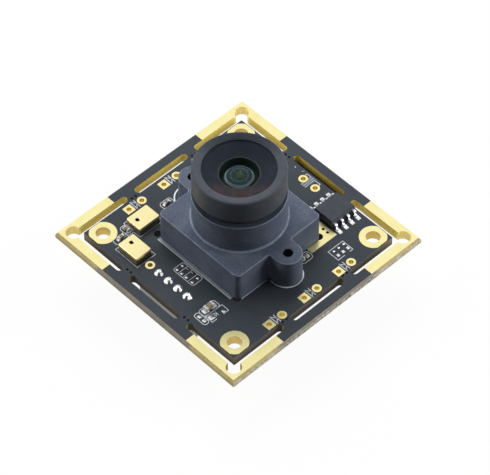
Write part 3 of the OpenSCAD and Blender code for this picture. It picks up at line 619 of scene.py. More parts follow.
def front_glass_look():
    """Coated front element: dark glass with painted pale rings where the edges of the lenses behind it would
    show, a painted reflection at its rim and painted glints.
    """
    look = Look("front_glass")
    share = look.maths("DIVIDE", look.from_lens(), GLASS_R * MM)
    # painted reflections: pale rings for the edges of the lenses behind, and a bright band at the rim
    rings = look.blend(share, (
        (0.00, (0.036, 0.050, 0.012)), (0.20, (0.024, 0.038, 0.014)), (0.32, (0.010, 0.018, 0.018)),
        (0.52, (0.014, 0.026, 0.030)), (0.58, (0.045, 0.072, 0.074)), (0.63, (0.012, 0.022, 0.030)),
        (0.84, (0.012, 0.022, 0.034)), (0.87, (0.20, 0.26, 0.30)), (1.00, (0.29, 0.37, 0.41)),
    ))
    # painted glints: light streaks inside the inner rings
    painted_glints = look.remap(look.noise(0.35, 3, 0.6), 0, 1, 0.55, 0.75)
    glint_mask = look.maths("MULTIPLY", painted_glints, look.maths("LESS_THAN", share, 0.8))
    color = look.mix(glint_mask, rings, look.ramp(painted_glints, (0.05, 0.08, 0.075), (0.07, 0.10, 0.10)))
    return look.coat(color, look.remap(look.noise(0.9), 0.05, 0.09), specular=0.15, tint=(0.65, 1.0, 0.85))


def solder_look():
    """Bright solder, with painted shade in the open side of each joint."""
    look = Look("solder_joint")
    hollow = look.marked("hollow")
    # painted shade in the open side of each joint, where the solder is also not metallic
    notch_shade_tone = look.ramp(look.noise(0.3), (0.030, 0.030, 0.032), (0.06, 0.055, 0.05))
    bright = look.ramp(look.noise(0.4), (0.78, 0.78, 0.80), (0.88, 0.88, 0.90))
    rough = look.remap(look.noise(0.3), 0.28, 0.42)
    look.relief(look.noise(0.2, 2), 0.01)
    return look.coat(look.mix(hollow, bright, notch_shade_tone), rough, look.maths("SUBTRACT", 1.0, hollow))


def glass_look(name, color, coating, rough=0.01):
    """Polished glass with a coloured anti-reflection coating and faint polishing marks."""
    look = Look(name)
    look.feed(look.shader, {"Transmission Weight": 1.0, "IOR": 1.52})
    look.relief(look.noise(0.4, 2), 0.0004)
    return look.coat(look.ramp(look.noise(0.8), shade(color, 0.92), color), rough, tint=coating)


GOLD = gold_look("gold_plating", (0.48, 0.33, 0.08), (0.60, 0.44, 0.13))
PAD_GOLD = gold_look("pad_gold", (0.66, 0.49, 0.12), (0.80, 0.62, 0.18))
LID_GOLD = lid_look()
TIN = plain_look("tin", (0.80, 0.80, 0.81), 0.24, 0.06, 0.5, 0.12, 0.004, metal=1)
LEAD = plain_look("lead", (0.78, 0.78, 0.79), 0.28, 0.06, 0.4, 0.06, 0.002, metal=1)
DULL_TIN = plain_look("dull_tin", (0.60, 0.61, 0.60), 0.42, 0.18, 0.4, 0.1, 0.004, metal=0.45)
STEEL = plain_look("screw", (0.62, 0.62, 0.63), 0.32, 0.08, 0.6, 0.08, 0.003, metal=1)
HOLDER = holder_look()
BARREL = barrel_look()
SPACER = plain_look("spacer", (0.012, 0.012, 0.013), 0.6, 0.1, 1.0, 0.1, 0.002, specular=0.2)
CHIP = plain_look("chip", (0.046, 0.051, 0.063), 0.50, 0.10, 0.9, 0.10, 0.004, specular=0.25)
CERAMIC = plain_look("ceramic", (0.22, 0.22, 0.24), 0.55, 0.08, 0.8, 0.08, 0.003)
SUBSTRATE = plain_look("substrate", (0.26, 0.23, 0.19), 0.5, 0.15, 0.4, 0.08, 0.003)
SILICON = plain_look("silicon", (0.08, 0.09, 0.14), 0.12, 0.1, 0.3, 0.05, 0.0005)
CAPACITOR = plain_look("capacitor", (0.24, 0.21, 0.16), 0.50, 0.14, 0.3, 0.05, 0.002, specular=0.3)
RESISTOR = plain_look("resistor", (0.02, 0.02, 0.022), 0.25, 0.1, 0.3, 0.05, 0.001)
NYLON = plain_look("housing", (0.90, 0.89, 0.85), 0.38, 0.04, 2.0, 0.15, 0.004)
INDUCTOR = plain_look("inductor", (0.16, 0.16, 0.165), 0.55, 0.2, 0.2, 0.08, 0.008)
PRINT = plain_look("print", (0.60, 0.62, 0.65), 0.55, 0.10, 0.3, 0.05, 0.003, specular=0.3)
# a paler copy of the print for the ear arcs: painted light where they lie in the holder's shade
SHADE_LIFTED_PRINT = plain_look("shade_lifted_print", (0.84, 0.87, 0.90), 0.5, 0.06, 0.3, 0.05, 0.003)
FAINT_PRINT = plain_look("faint_print", (0.26, 0.30, 0.34), 0.55, 0.20, 0.3, 0.05, 0.003, specular=0.3)
# painted shade: the colour of the dark sheet in the +Y middle slot
SLOT_SHADOW = plain_look("slot_shadow_sheet", (0.060, 0.046, 0.034), 0.7, 0.2, 1.2, 0.2, 0.01, specular=0.1)
SOLDER = solder_look()
BOARD = board_look()
FRONT_GLASS = front_glass_look()
LENS_GLASS = glass_look("lens_glass", (0.78, 0.95, 0.84), (0.45, 0.85, 0.60))
# painted shade: the second lens is near black, for the dark inside of the lens
SHADE_GLASS = plain_look("shade_glass", (0.004, 0.010, 0.005), 0.08, 0.4, 1.1, 0.4, 0.0003)
FILTER = glass_look("filter", (0.80, 0.86, 1.0), (1.0, 0.45, 0.45))
COVER_GLASS = glass_look("cover_glass", (0.95, 0.98, 1.0), (1, 1, 1))


# Lens holder

def holder_outline(inset):
    """The base with its two ears, seen from above, moved in by inset (out where it is negative)."""
    corner = BASE_HALF - CORNER_R
    bend_x = BASE_HALF + EAR_FILLET
    bend_y = EAR_R + EAR_FILLET
    bend = EAR_FILLET + inset
    half = arc(corner, -corner, CORNER_R - inset, -90, 0, 8)
    half += arc(bend_x, -bend_y, bend, 180, 90, 6)
    half += arc(EAR_AT, 0, EAR_R - inset, -90, 90, 28)
    half += arc(bend_x, bend_y, bend, -90, -180, 6)
    half += arc(corner, corner, CORNER_R - inset, 0, 90, 8)
    whole = half + [(-x, -y) for x, y in half]
    return [(x + LENS_X, y) for x, y in whole]


# Radius of the rounded edges on the base and on the tower
EDGE = 0.16
TOWER_EDGE = 0.15


def tower_profile(edge=TOWER_EDGE, chamfer=0.12):
    """From the window in the roof, up the bore, over the top and down to the tower's foot."""
    top = HOLDER_HIGH.z - TOP
    profile = [(WINDOW_R, SEAT_H), (WINDOW_R, BASE_H), (BORE_R, BASE_H)]
    profile += [(BORE_R, top - chamfer), (BORE_R + chamfer, top)]
    profile += [(TOWER_R - edge + x, top - edge + z) for x, z in reversed(arc(0, 0, edge, 0, 90, 5))]
    foot_r, foot_z = TOWER_R + FOOT_FILLET, BASE_H + FOOT_FILLET
    profile += [(foot_r + x, foot_z + z) for x, z in arc(0, 0, FOOT_FILLET, 180, 270, 6)]
    return profile


def holder_edge_highlight(point, near=0.004):
    """1 on the points inside a rounded edge or fillet of the holder, where the holder's material paints a
    highlight, and 0 on flat faces.
    """
    height = point.z - TOP
    radius = math.hypot(point.x - LENS_X, point.y)
    if radius > TOWER_R + FOOT_FILLET + 0.1:
        return float(BASE_H - EDGE + near < height < BASE_H - near)
    if height < BASE_H + FOOT_FILLET + near:
        return float(BASE_H + near < height < BASE_H + FOOT_FILLET - near)
    top = HOLDER_HIGH.z - TOP
    return float(radius > TOWER_R - 0.3 and top - TOWER_EDGE + near < height < top - near)


def make_lens_holder(edge=EDGE, foot=0.03, steps=96):
    """The moulding: a base that leans in, two ears, a tower with its bore, and the hollows below."""
    bm = bmesh.new()
    lift = Matrix.Translation((0, 0, TOP))
    rings = [at_height(holder_outline(foot - DRAFT), 0), at_height(holder_outline(-DRAFT), foot)]
    rings += soft_edge(lambda inset, z: holder_outline(inset - DRAFT * (1 - z / BASE_H)), BASE_H, edge, 4)
    loops = loft(bm, rings, start=False, end=False, spot=lift)
    tower = lathe(bm, tower_profile(), LENS_X, 0, steps, spot=lift)
    pilots, screw_holes = [], []
    chamfer = 0.08
    for side in (-1, 1):
        profile = [
            (SCREW_CUT_R, 0), (SCREW_CUT_R, SCREW_CUT_H), (PILOT_R, SCREW_CUT_H),
            (PILOT_R, BASE_H - chamfer), (PILOT_R + chamfer, BASE_H),
        ]
        hole = lathe(bm, profile, LENS_X + side * EAR_AT, 0, 32, spot=lift)
        screw_holes.append(hole[0])
        pilots.append(hole[-1])
    cavity, seat = square_loop(CAVITY_HALF), square_loop(SEAT_HALF)
    cavity_walls = add_loops(bm, [at_height(cavity, 0), at_height(cavity, ROOF_H)], lift)
    seat_walls = add_loops(bm, [at_height(seat, ROOF_H), at_height(seat, SEAT_H)], lift)
    skin(bm, *cavity_walls)
    skin(bm, *seat_walls)
    fill(bm, loops[-1], [tower[-1]] + pilots)
    fill(bm, loops[0], [cavity_walls[0]] + screw_holes, up=False)
    fill(bm, cavity_walls[1], [seat_walls[0]], up=False)
    fill(bm, seat_walls[1], [tower[0]], up=False)
    make_piece("lens_holder_moulding", bm, HOLDER, "holder", ["lens_holder"], ("edge_highlight", holder_edge_highlight))


def square_loop(half):
    return box_points(LENS_X - half, -half, LENS_X + half, half)


# Lens

def barrel_profile():
    """Outline of the turned lens body, from its rear end up the outside and down the inside."""
    rear, top = BARREL_LOW.z, RIM_Z
    bevel, foot = 0.15, 0.12
    cone_top, cone_low = top - 0.35, top - 1.2
    ledge = cone_low - 1.15
    seat = ledge - 0.2
    step = rear + 2.3
    profile = [(REAR_BORE_R, rear), (THREAD_CORE - bevel, rear), (THREAD_CORE, rear + bevel)]
    profile += [(THREAD_CORE, HEAD_LOW), (HEAD_R - foot, HEAD_LOW), (HEAD_R, HEAD_LOW + foot)]
    profile += [(HEAD_R - RIM_ROUND + x, top - RIM_ROUND + z) for x, z in arc(0, 0, RIM_ROUND, 0, 90, 8)]
    profile += [(RECESS_R + 0.24, top - 0.10), (RECESS_R + 0.17, top - 0.13), (RECESS_R, top - 0.2)]
    profile += [(RECESS_R, cone_top), (OPENING_R + 0.12, cone_low + 0.02)]
    profile += [(OPENING_R + 0.04, cone_low - 0.01), (OPENING_R, cone_low - 0.06)]
    profile += [(OPENING_R - 0.04, ledge), (GLASS_R + 0.02, ledge), (GLASS_R, ledge - 0.03), (GLASS_R, seat)]
    profile += [(FRONT_BORE_R, seat), (FRONT_BORE_R, step), (REAR_BORE_R, step)]
    return profile


def add_thread(bm, low, high, steps=72, fade_steps=12, flat=0.04):
    """One helical ridge round the lens's neck, which fades out at both ends."""
    turns = (high - low) / THREAD_PITCH
    half = THREAD_PITCH * 0.42
    root, top = THREAD_CORE - 0.04, THREAD_R - 0.05
    rings = []
    for i in range(int(turns * steps) + 1):
        angle = 2 * math.pi * i / steps
        z = low + THREAD_PITCH * i / steps
        fade = min(1, i / fade_steps, (turns * steps - i) / fade_steps)
        crest = THREAD_CORE + (top - THREAD_CORE) * max(fade, 0.05)
        section = ((root, -half), (crest, -flat), (crest, flat), (root, half))
        rings.append([(LENS_X + r * math.cos(angle), r * math.sin(angle), z + dz) for r, dz in section])
    loft(bm, rings)


def make_lens_barrel():
    bm = bmesh.new()
    lathe(bm, barrel_profile(), LENS_X, 0, 128, closed=True)
    add_thread(bm, BARREL_LOW.z + 0.4, HEAD_LOW - 0.3)
    make_piece("lens_body", bm, BARREL, "barrel", ["lens_barrel"])


def make_front_lens():
    """The front element: a hollow rear, a rim under the ledge, a ground edge that slopes in and a dome."""
    low, high = extent("front_lens")
    radius = FRONT_BORE_R - 0.05
    dome_r = GLASS_R - 0.03
    rim = low.z + 0.8
    bevel, bevel_h, rise = 0.28, 0.38, 0.22
    dome_low = high.z - rise
    polished_r = dome_r - bevel
    sphere = (polished_r ** 2 + rise ** 2) / (2 * rise)
    hollow, depth, chamfer = 2.0, 0.34, 0.05
    bowl = (hollow ** 2 + depth ** 2) / (2 * depth)
    profile = [(0, low.z + depth)]
    for i in range(1, 9):
        r = hollow * i / 8
        profile.append((r, low.z + depth - bowl + math.sqrt(bowl ** 2 - r ** 2)))
    profile += [(radius - chamfer, low.z), (radius, low.z + chamfer), (radius, rim), (dome_r, rim)]
    profile += [(dome_r, dome_low - bevel_h), (polished_r + 0.02, dome_low - 0.02)]
    for i in range(13):
        r = polished_r * (1 - i / 12)
        profile.append((r, dome_low - (sphere - rise) + math.sqrt(sphere ** 2 - r ** 2)))
    bm = bmesh.new()
    lathe(bm, profile, LENS_X, 0, 96)
    make_piece("front_element", bm, FRONT_GLASS, "lens_glass", ["front_lens"])


# Microphones

def make_microphones():
    """Stamped lids with a soft edge and a punched sound port, on their laminate bases."""
    lids, bases = bmesh.new(), bmesh.new()
    base_low, base_high = extent("microphone_bases")
    lid_top = extent("microphone_lids")[1].z
    base_x, base_y, foot = 4, 3, base_high.z
    wall, edge, dimple = 0.1, 0.10, 0.05
    port, port_x, port_y = 0.33, -0.92, 0.2
    length, width, corner = 3.97, 2.97, 0.22
    spots = (
        place(base_low.x + base_y / 2, base_high.y - base_x / 2, 90),
        place(base_high.x - base_x / 2, base_low.y + base_y / 2, 0),
    )
    for spot in spots:
        base = rounded_rect(base_x, base_y, 0.05, 2)
        loft(bases, [at_height(base, base_low.z), at_height(base, foot)], spot=spot)
        rings = [at_height(rounded_rect(length, width, corner), foot)]
        rings += soft_edge(shrinking_rect(length, width, corner), lid_top, edge, 5)
        outer = loft(lids, rings, start=False, end=False, spot=spot)
        inner_outline = rounded_rect(length - 2 * wall, width - 2 * wall, corner - wall)
        inner_rings = [at_height(inner_outline, foot), at_height(inner_outline, lid_top - wall)]
        inner = loft(lids, inner_rings, start=False, end=False, spot=spot)
        profile = [(port + dimple, lid_top), (port, lid_top - dimple), (port, lid_top - wall)]
        hole = lathe(lids, profile, port_x, port_y, 28, spot=spot)
        fill(lids, outer[-1], [hole[0]])
        fill(lids, inner[-1], [hole[-1]], up=False)
        fill(lids, outer[0], [inner[0]], up=False)
    make_piece("microphone_lid_shells", lids, LID_GOLD, "lid_gold", ["microphone_lids"])
    make_piece("microphone_laminates", bases, SUBSTRATE, "substrate", ["microphone_bases"])


# Chip parts: length, width and height of each kind, share of an end cap, and thickness of the tin

SMALL = (1.0, 0.5, 0.5)
FLAT = (1.0, 0.5, 0.35)
LARGE = (1.6, 0.8, 0.8)
END_SHARE = 0.24
TIN_T = 0.08

# Where the solids put the chip parts on the lens side, and their sizes
CHIP_SPOTS = (
    (place(-12.0, -11.1), SMALL), (place(-11.41, -12.75, 90), SMALL), (place(7.0, -12.4, 90), LARGE),
    (place(9.88, 4.08, 90), SMALL), (place(-11.7, -3.35, 90), FLAT),
)


def add_chip_part(bodies, ends, size, spot, low):
    """A ceramic block with a rounded metal cap on each end."""
    length, width, height = size
    cap = length * END_SHARE
    swell = 0.02
    soft_block(bodies, length - cap, width - 2 * swell, low + swell, low + height - swell, spot, 0.03, 0.03)
    for side in (-1, 1):
        shift = Matrix.Translation((side * (length - cap) / 2, 0, 0))
        soft_block(ends, cap, width, low, low + height, spot @ shift, 0.06, 0.06)


def add_solder_wedge(bm, width, run, height, spot, low):
    """The hollow-faced fillet of solder that climbs a metal face from its pad, towards +X."""
    rings = []
    for i in range(7):
        t = i / 6
        x, z = run * t, low + height * (1 - t) ** 2.2 + 0.004
        half = width / 2 * (1 - 0.12 * t)
        crest = half * 0.92
        rings.append([(x, -half, low), (x, half, low), (x, crest, z), (x, -crest, z)])
    loft(bm, rings, spot=spot)


def make_chip_parts():
    bodies, ends, solder = bmesh.new(), bmesh.new(), bmesh.new()
    low = TOP + TIN_T
    sunk = 0.02
    for spot, size in CHIP_SPOTS:
        add_chip_part(bodies, ends, size, spot, low)
        length, width, height = size
        under, pad = length * END_SHARE, length * 0.34
        for side in (0, 180):
            turned = spot @ Matrix.Rotation(math.radians(side), 4, "Z")
            shift = Matrix.Translation((length / 2 + pad / 2 - under, 0, 0))
            soft_block(solder, pad + under, width * 1.12, TOP, low, turned @ shift, 0.05, 0.03)
            wedge = turned @ Matrix.Translation((length / 2 - sunk, 0, 0))
            add_solder_wedge(solder, width * 0.95, pad * 0.8, height * 0.62, wedge, low - sunk)
    make_piece("chip_capacitor_blocks", bodies, CAPACITOR, "capacitor", ["capacitor_bodies"])
    make_piece("chip_capacitor_caps", ends, DULL_TIN, "tin", ["capacitor_ends"])
    make_piece("chip_part_solder", solder, DULL_TIN, "tin")


# Tinned pads and leads

# Memory chip: centre, width of its body and pitch of its leads
CHIP_X, CHIP_Y, CHIP_W, CHIP_PITCH = 6.85, 13.1, 3.9, 1.27


def lead_spots():
    """One spot for each lead of the memory chip, with +X pointing out of the body."""
    spots = []
    for turn in (0, 180):
        for i in range(4):
            shift = Matrix.Translation((0, (i - 1.5) * CHIP_PITCH, 0))
            spots.append(place(CHIP_X, CHIP_Y, turn) @ shift)
    return spots


def make_memory_leads():
    """The chip's gull-wing leads, with a solder fillet at the toe and the heel of each."""
    leads, solder = bmesh.new(), bmesh.new()
    thick, width, shoulder = 0.2, 0.38, TOP + 0.9
    bend_out, heel_out, toe_out = 2.36, 2.46, 2.99
    foot_z, solder_z = TOP + TIN_T + thick / 2, TOP + TIN_T - 0.02
    path = ((CHIP_W / 2 - 0.12, shoulder), (bend_out, shoulder), (heel_out, foot_z), (toe_out, foot_z))
    for spot in lead_spots():
        bent_strip(leads, path, thick, width, spot)
        toe = spot @ Matrix.Translation((toe_out - 0.01, 0, 0))
        add_solder_wedge(solder, width + 0.04, 0.28, 0.14, toe, solder_z)
        heel = spot @ Matrix.Translation((bend_out + 0.02, 0, 0)) @ Matrix.Rotation(math.pi, 4, "Z")
        add_solder_wedge(solder, width + 0.02, 0.16, 0.18, heel, solder_z)
    make_piece("memory_chip_leads", leads, LEAD, "lead", ["memory_leads"])
    make_piece("memory_chip_solder", solder, TIN, "tin")


def tinned_pad_places():
    """Bare tinned pads: x, y, width, depth."""
    pads = [(x, -10.825, 0.42, 0.42) for x in (-1.38, -0.4, 0.6, 1.84)]
    pads += [(x, -9.755, 0.42, 0.42) for x in (-1.38, 1.84)]
    pads += [(12.9, y, 0.5, 0.46) for y in (7.87, 8.87, 9.87)]
    pads += [(11.92, y, 0.26, 0.36) for y in (7.91, 8.91, 9.91)]
    pads += [(x, -14.42, 0.56, 0.5) for x in (7.15, 8.15)]
    pads += [(8.44, -13.22, 0.8, 0.9), (8.78, -11.22, 0.5, 0.5)]
    for side in (-1, 1):
        pads += [(CHIP_X + side * 2.85, CHIP_Y + (i - 1.5) * CHIP_PITCH, 1.2, 0.6) for i in range(4)]
    return pads


def make_tinned_pads():
    """Pads with a low pillow of reflowed tin."""
    bm = bmesh.new()
    for x, y, width, depth in tinned_pad_places():
        least = min(width, depth)
        rings = []
        for share, height in ((0, 0), (0, 0.03), (0.1, 0.06), (0.22, 0.075), (0.36, 0.08)):
            inset = share * least
            outline = rounded_rect(width - 2 * inset, depth - 2 * inset, 0.14 * least, 3)
            rings.append(at_height(outline, TOP + height))
        loft(bm, rings, spot=place(x, y))
    make_piece("tinned_pad_pillows", bm, TIN, "tin", ["tinned_pads"])


# Connector joints: size, and the direction and width of the open side of each, in degrees
JOINT_R = 0.73
JOINT_H = 0.45
NOTCH_TURNS = (-48, -38, -44, -62)
NOTCH_WIDTH = 24


def notch_share(x, y, centre_x, turn):
    """How deep the open side of a joint is at a point: 1 in its middle and 0 away from it."""
    angle = math.degrees(math.atan2(y - PIN_Y, x - centre_x))
    off = (angle - turn + 180) % 360 - 180
    radius = math.hypot(x - centre_x, y - PIN_Y)
    return math.exp(-(off / NOTCH_WIDTH) ** 2) * min(1, radius / 0.2)


def joint_notch_shade(point):
    """Marks the open side of each joint, where painted shade takes the place of bright solder."""
    number = min(range(len(PIN_XS)), key=lambda i: abs(point.x - PIN_XS[i]))
    share = notch_share(point.x, point.y, PIN_XS[number], NOTCH_TURNS[number])
    return 1.0 if share > 0.45 else 0.0


def make_pin_solder(steps=48, tip_r=0.32):
    """The joints of the wire connector: a cone of solder round each pin, open on the side of the plug."""
    solder, pins = bmesh.new(), bmesh.new()
    pin_low, pin_high = extent("connector_pins")
    low = TOP + COPPER
    for x, turn in zip(PIN_XS, NOTCH_TURNS):
        rings = []
        for i in range(9):
            t = i / 8
            radius = tip_r + (JOINT_R - tip_r) * (1 - t) ** 1.5
            ring = []
            for px, py in circle(x, PIN_Y, radius, steps):
                rise = JOINT_H * t ** 0.75 * (1 - 0.9 * notch_share(px, py, x, turn))
                ring.append((px, py, low + 0.01 + rise))
            rings.append(ring)
        base = at_height(circle(x, PIN_Y, JOINT_R, steps), low - 0.02)
        loops = loft(solder, [base] + rings, end=False)
        centre = solder.verts.new((x, PIN_Y, low + JOINT_H + 0.03))
        for a, b in zip(loops[-1], loops[-1][1:] + loops[-1][:1]):
            solder.faces.new((a, b, centre))
        tip = 0.08
        shape = [
            (PIN_HALF - tip, pin_low.z), (PIN_HALF, pin_low.z + tip * 2),
            (PIN_HALF, pin_high.z - tip), (PIN_HALF - tip, pin_high.z),
        ]
        rings = [at_height(rounded_rect(2 * h, 2 * h, 0.03, 2), z) for h, z in shape]
        loft(pins, rings, spot=place(x, PIN_Y))
    make_piece("connector_solder_joints", solder, SOLDER, "tin", ["pin_solder"], ("hollow", joint_notch_shade))
    make_piece("connector_pin_row", pins, LEAD, "lead", ["connector_pins"])


# Printed outlines: rounded ones by two corners, radius and line width, and open ones by width and points

ROUND_OUTLINES = (
    (-13.25, -10.6, -9.65, -6.05, 0.02, 0.1), (-13.0, -11.75, -11.0, -10.45, 0.5, 0.12),
    (-12.0, -14.05, -10.85, -11.6, 0.4, 0.12), (-12.35, -4.4, -11.05, -2.3, 0.45, 0.12),
    (9.1, 2.95, 10.6, 5.2, 0.5, 0.12), (6.3, -13.9, 7.7, -10.85, 0.35, 0.12),
    (6.4, -14.95, 8.85, -13.98, 0.42, 0.12), (-1.85, -11.3, 2.4, -9.25, 0.4, 0.11),
)
OPEN_LINES = (
    (0.12, ((9.15, -12.9), (9.15, -13.78), (7.78, -13.78), (7.78, -10.6), (9.15, -10.6), (9.15, -11.6))),
    (0.1, ((7.95, -12.2), (8.85, -12.2))),
    (0.09, ((8.05, -12.6), (8.4, -12.25), (8.75, -12.6), (8.05, -12.6))),
    (0.11, ((13.55, 8.6), (13.55, 7.25), (11.44, 7.25), (11.44, 10.25), (13.55, 10.25), (13.55, 9.6))),
    (0.15, ((8.98, -7.8), (8.98, -2.75))),
    (0.14, ((-7.6, -9.0), (7.9, -9.0))),
    (0.11, ((-1.42, 15.25), (-1.42, 15.6), (-0.55, 15.62))),
    (0.11, ((0.42, 15.5), (1.38, 15.58), (1.42, 15.1))),
    (0.14, ((-2.35, 15.45), (-2.05, 15.62))),
)


def print_diode(bm, x, y):
    """Diode symbol between the two pads of a lamp position."""
    left, right, low, high = x - 1.0, x + 0.78, y - 0.26, y + 0.36
    middle = (left + right) / 2
    stroke(bm, [(left, low), (right, low)], 0.16)
    stroke(bm, [(left + 0.1, high), (right - 0.05, high)], 0.15)
    stroke(bm, [(left + 0.08, low), (middle, high), (right - 0.08, low)], 0.13)


def rounded_at(x0, y0, x1, y1, radius):
    outline = rounded_rect(x1 - x0, y1 - y0, radius, 5)
    cx, cy = (x0 + x1) / 2, (y0 + y1) / 2
    return [(x + cx, y + cy) for x, y in outline]


def make_print():
    """White printed outlines round the parts on the lens side."""
    bm = bmesh.new()
    for x in (LAMP_LEFT_X, LAMP_RIGHT_X):
        for y in LAMP_ROWS:
            print_diode(bm, x, y)
    stroke(bm, box_points(-10.45, -14.75, -5.7, -11.2), 0.1, closed=True)
    for x0, y0, x1, y1, radius, width in ROUND_OUTLINES:
        stroke(bm, rounded_at(x0, y0, x1, y1, radius), width, closed=True)
    for width, points in OPEN_LINES:
        stroke(bm, points, width)
    for x in (-0.82, 0.2, 1.25):
        stroke(bm, [(x, -11.25), (x, -9.3)], 0.09)
    for x in (-0.5, 0.5):
        stroke(bm, [(x - 0.16, -9.7), (x + 0.2, -9.7)], 0.10)
    for x, y in ((-3.6, 15.3), (-2.1, 15.6)):
        lathe(bm, [(0, TOP + PRINT_T), (0.1, TOP + PRINT_T), (0.1, TOP)], x, y, 16)
    make_piece("printed_outlines", bm, PRINT, "print")
    faint = bmesh.new()
    stroke(faint, [(-7.6, -8.72), (7.9, -8.72)], 0.42)
    for x in (-0.53, -0.15, 0.23):
        stroke(faint, [(x, 13.5), (x, 15.75)], 0.27)
    make_piece("printed_foot_bands", faint, FAINT_PRINT, "print")
    # painted light: the ear arcs take the paler copy of the print
    arcs = bmesh.new()
    stroke(arcs, arc(10.12, 0, 2.50, -103, 62, 28), 0.22)
    stroke(arcs, arc(-10.1, 0, 2.47, 118, 258, 24), 0.22)
    make_piece("printed_ear_arcs", arcs, SHADE_LIFTED_PRINT, "print")


# Underside parts

def loose_boxes(node):
    """Lowest and highest corner of each separate solid of a node, in millimetres."""
    bm = bmesh.new()
    bm.from_mesh(nodes[node].data)
    bmesh.ops.remove_doubles(bm, verts=bm.verts, dist=1e-6)
    boxes, done = [], set()
    for start in bm.verts:
        if start in done:
            continue
        done.add(start)
        waiting, points = [start], []
        while waiting:
            vert = waiting.pop()
            points.append(vert.co / MM)
            others = {edge.other_vert(vert) for edge in vert.link_edges} - done
            done |= others
            waiting += others
        boxes.append([Vector([pick(p[i] for p in points) for i in range(3)]) for pick in (min, max)])
    bm.free()
    return boxes


def upside_down(low, high):
    """A spot and two heights for a part that hangs from the board's lower face."""
    spot = place((low.x + high.x) / 2, (low.y + high.y) / 2) @ Matrix.Scale(-1, 4, (0, 0, 1))
    return spot, -high.z, -low.z


def make_soft_parts(name, node, material, slot, corner, edge, slim):
    """Blocks with rounded edges in the place of a node's sharp ones, narrower and lower by slim."""
    bm = bmesh.new()
    for low, high in loose_boxes(node):
        spot, near, far = upside_down(low, high)
        sides = (high.x - low.x, high.y - low.y)
        width, depth = (side - (slim if side == min(sides) else 0) for side in sides)
        soft_block(bm, width, depth, near, far - slim / 2, spot, corner, edge)
    make_piece(name, bm, material, slot, [node])


def make_processor(edge=0.07, corner=0.25, mark_r=0.32, mark_in=1.0, mark_depth=0.05):
    """The image processor's moulded body, with the round mark of its first contact."""
    low, high = loose_boxes("image_processor")[0]
    spot, near, far = upside_down(low, high)
    width, depth = high.x - low.x, high.y - low.y
    rings = [at_height(rounded_rect(width, depth, corner), near)]
    rings += soft_edge(shrinking_rect(width, depth, corner), far, edge, 3)
    bm = bmesh.new()
    loops = loft(bm, rings, end=False, spot=spot)
    profile = [(mark_r, far), (mark_r - 0.03, far - mark_depth), (0, far - mark_depth)]
    mark = lathe(bm, profile, mark_in - width / 2, depth / 2 - mark_in, 32, spot=spot)
    fill(bm, loops[-1], [mark[0]])
    make_piece("image_processor_body", bm, CHIP, "chip", ["image_processor"])


def make_underside():
    """The parts below the board whose solids have sharp edges."""
    make_processor()
    for name, node, material, slot, corner, edge, slim in (
        ("underside_capacitor_blocks", "underside_capacitors", CAPACITOR, "capacitor", 0.03, 0.03, 0.04),
        ("underside_capacitor_caps", "underside_capacitor_ends", TIN, "tin", 0.05, 0.05, 0),
        ("underside_resistor_caps", "underside_resistor_ends", TIN, "tin", 0.04, 0.04, 0),
        ("inductor_block", "power_inductor", INDUCTOR, "inductor", 0.5, 0.18, 0),
        ("crystal_lid_shell", "crystal_lid", LEAD, "lead", 0.3, 0.09, 0),
        ("crystal_base_block", "crystal_base", CERAMIC, "ceramic", 0.12, 0.04, 0),
    ):
        make_soft_parts(name, node, material, slot, corner, edge, slim)


def make_slot_shadow_sheet(length=10.38, width=1.19, low=0.01, thick=0.12):
    """A dark sheet of painted shade in the middle slot of the +Y side."""
    bm = bmesh.new()
    outline = rounded_rect(length, width, width / 2 - 0.005, 8)
    loft(bm, [at_height(outline, low), at_height(outline, low + thick)], spot=place(0, SLOT_MID))
    make_piece("slot_shadow_sheet", bm, SLOT_SHADOW, "board")


def dress_node(node, material):
    """Gives a solid whose shape stays its finish."""
    piece = nodes[node]
    piece.data.materials.clear()
    piece.data.materials.append(material)


NODE_LOOKS = {
    "circuit_board": BOARD, "corner_pads": GOLD, "mounting_rings": GOLD, "ground_pad": GOLD,
    "round_pads": PAD_GOLD, "square_pads": PAD_GOLD, "holder_screws": STEEL, "infrared_filter": FILTER,
    "sensor_package": CERAMIC, "sensor_die": SILICON, "sensor_glass": COVER_GLASS, "sensor_joints": TIN,
    "front_spacer": SPACER, "second_lens": SHADE_GLASS, "aperture_stop": SPACER, "third_lens": LENS_GLASS,
    "middle_spacer": SPACER, "fourth_lens": LENS_GLASS, "rear_lens": LENS_GLASS, "retaining_ring": SPACER,
    "microphone_dies": SILICON, "memory_chip": CHIP, "connector_housing": NYLON, "processor_pads": TIN,
    "inductor_ends": TIN, "regulator_bodies": CHIP, "regulator_leads": LEAD, "underside_resistors": RESISTOR,
}


# Stage

VIEW_RAYS = ("Is Camera Ray", "Is Glossy Ray", "Is Transmission Ray")
FLOOR_Z = extent("connector_housing")[0].z


def floor_look():
    """A pale floor that shows white with a faint shadow, and lets light and a view from below through.

    The white share and the lit rest of the floor add up to about 1, which is plain white.
    """
    material = bpy.data.materials.new("floor")
    shading = Shading(material)
    shading.tree.nodes.clear()
    white_share, white_strength, dark_tone, pale_tone = 0.86, 1.1, 0.06, 0.35
    seen = shading.rays(*VIEW_RAYS)
    lit = shading.add("ShaderNodeBsdfDiffuse", {"Color": shading.remap(seen, dark_tone, pale_tone, 0, 1)})
    white = shading.add("ShaderNodeEmission", {"Strength": white_strength})
    shown = shading.mix_shaders(shading.maths("MULTIPLY", seen, white_share), lit, white)
    behind = shading.add("ShaderNodeNewGeometry").outputs["Backfacing"]
    passing = shading.maths("MAXIMUM", behind, shading.rays("Is Shadow Ray"))
    surface = shading.mix_shaders(passing, shown, shading.add("ShaderNodeBsdfTransparent"))
    shading.add("ShaderNodeOutputMaterial", {"Surface": surface.outputs[0]})
    return material


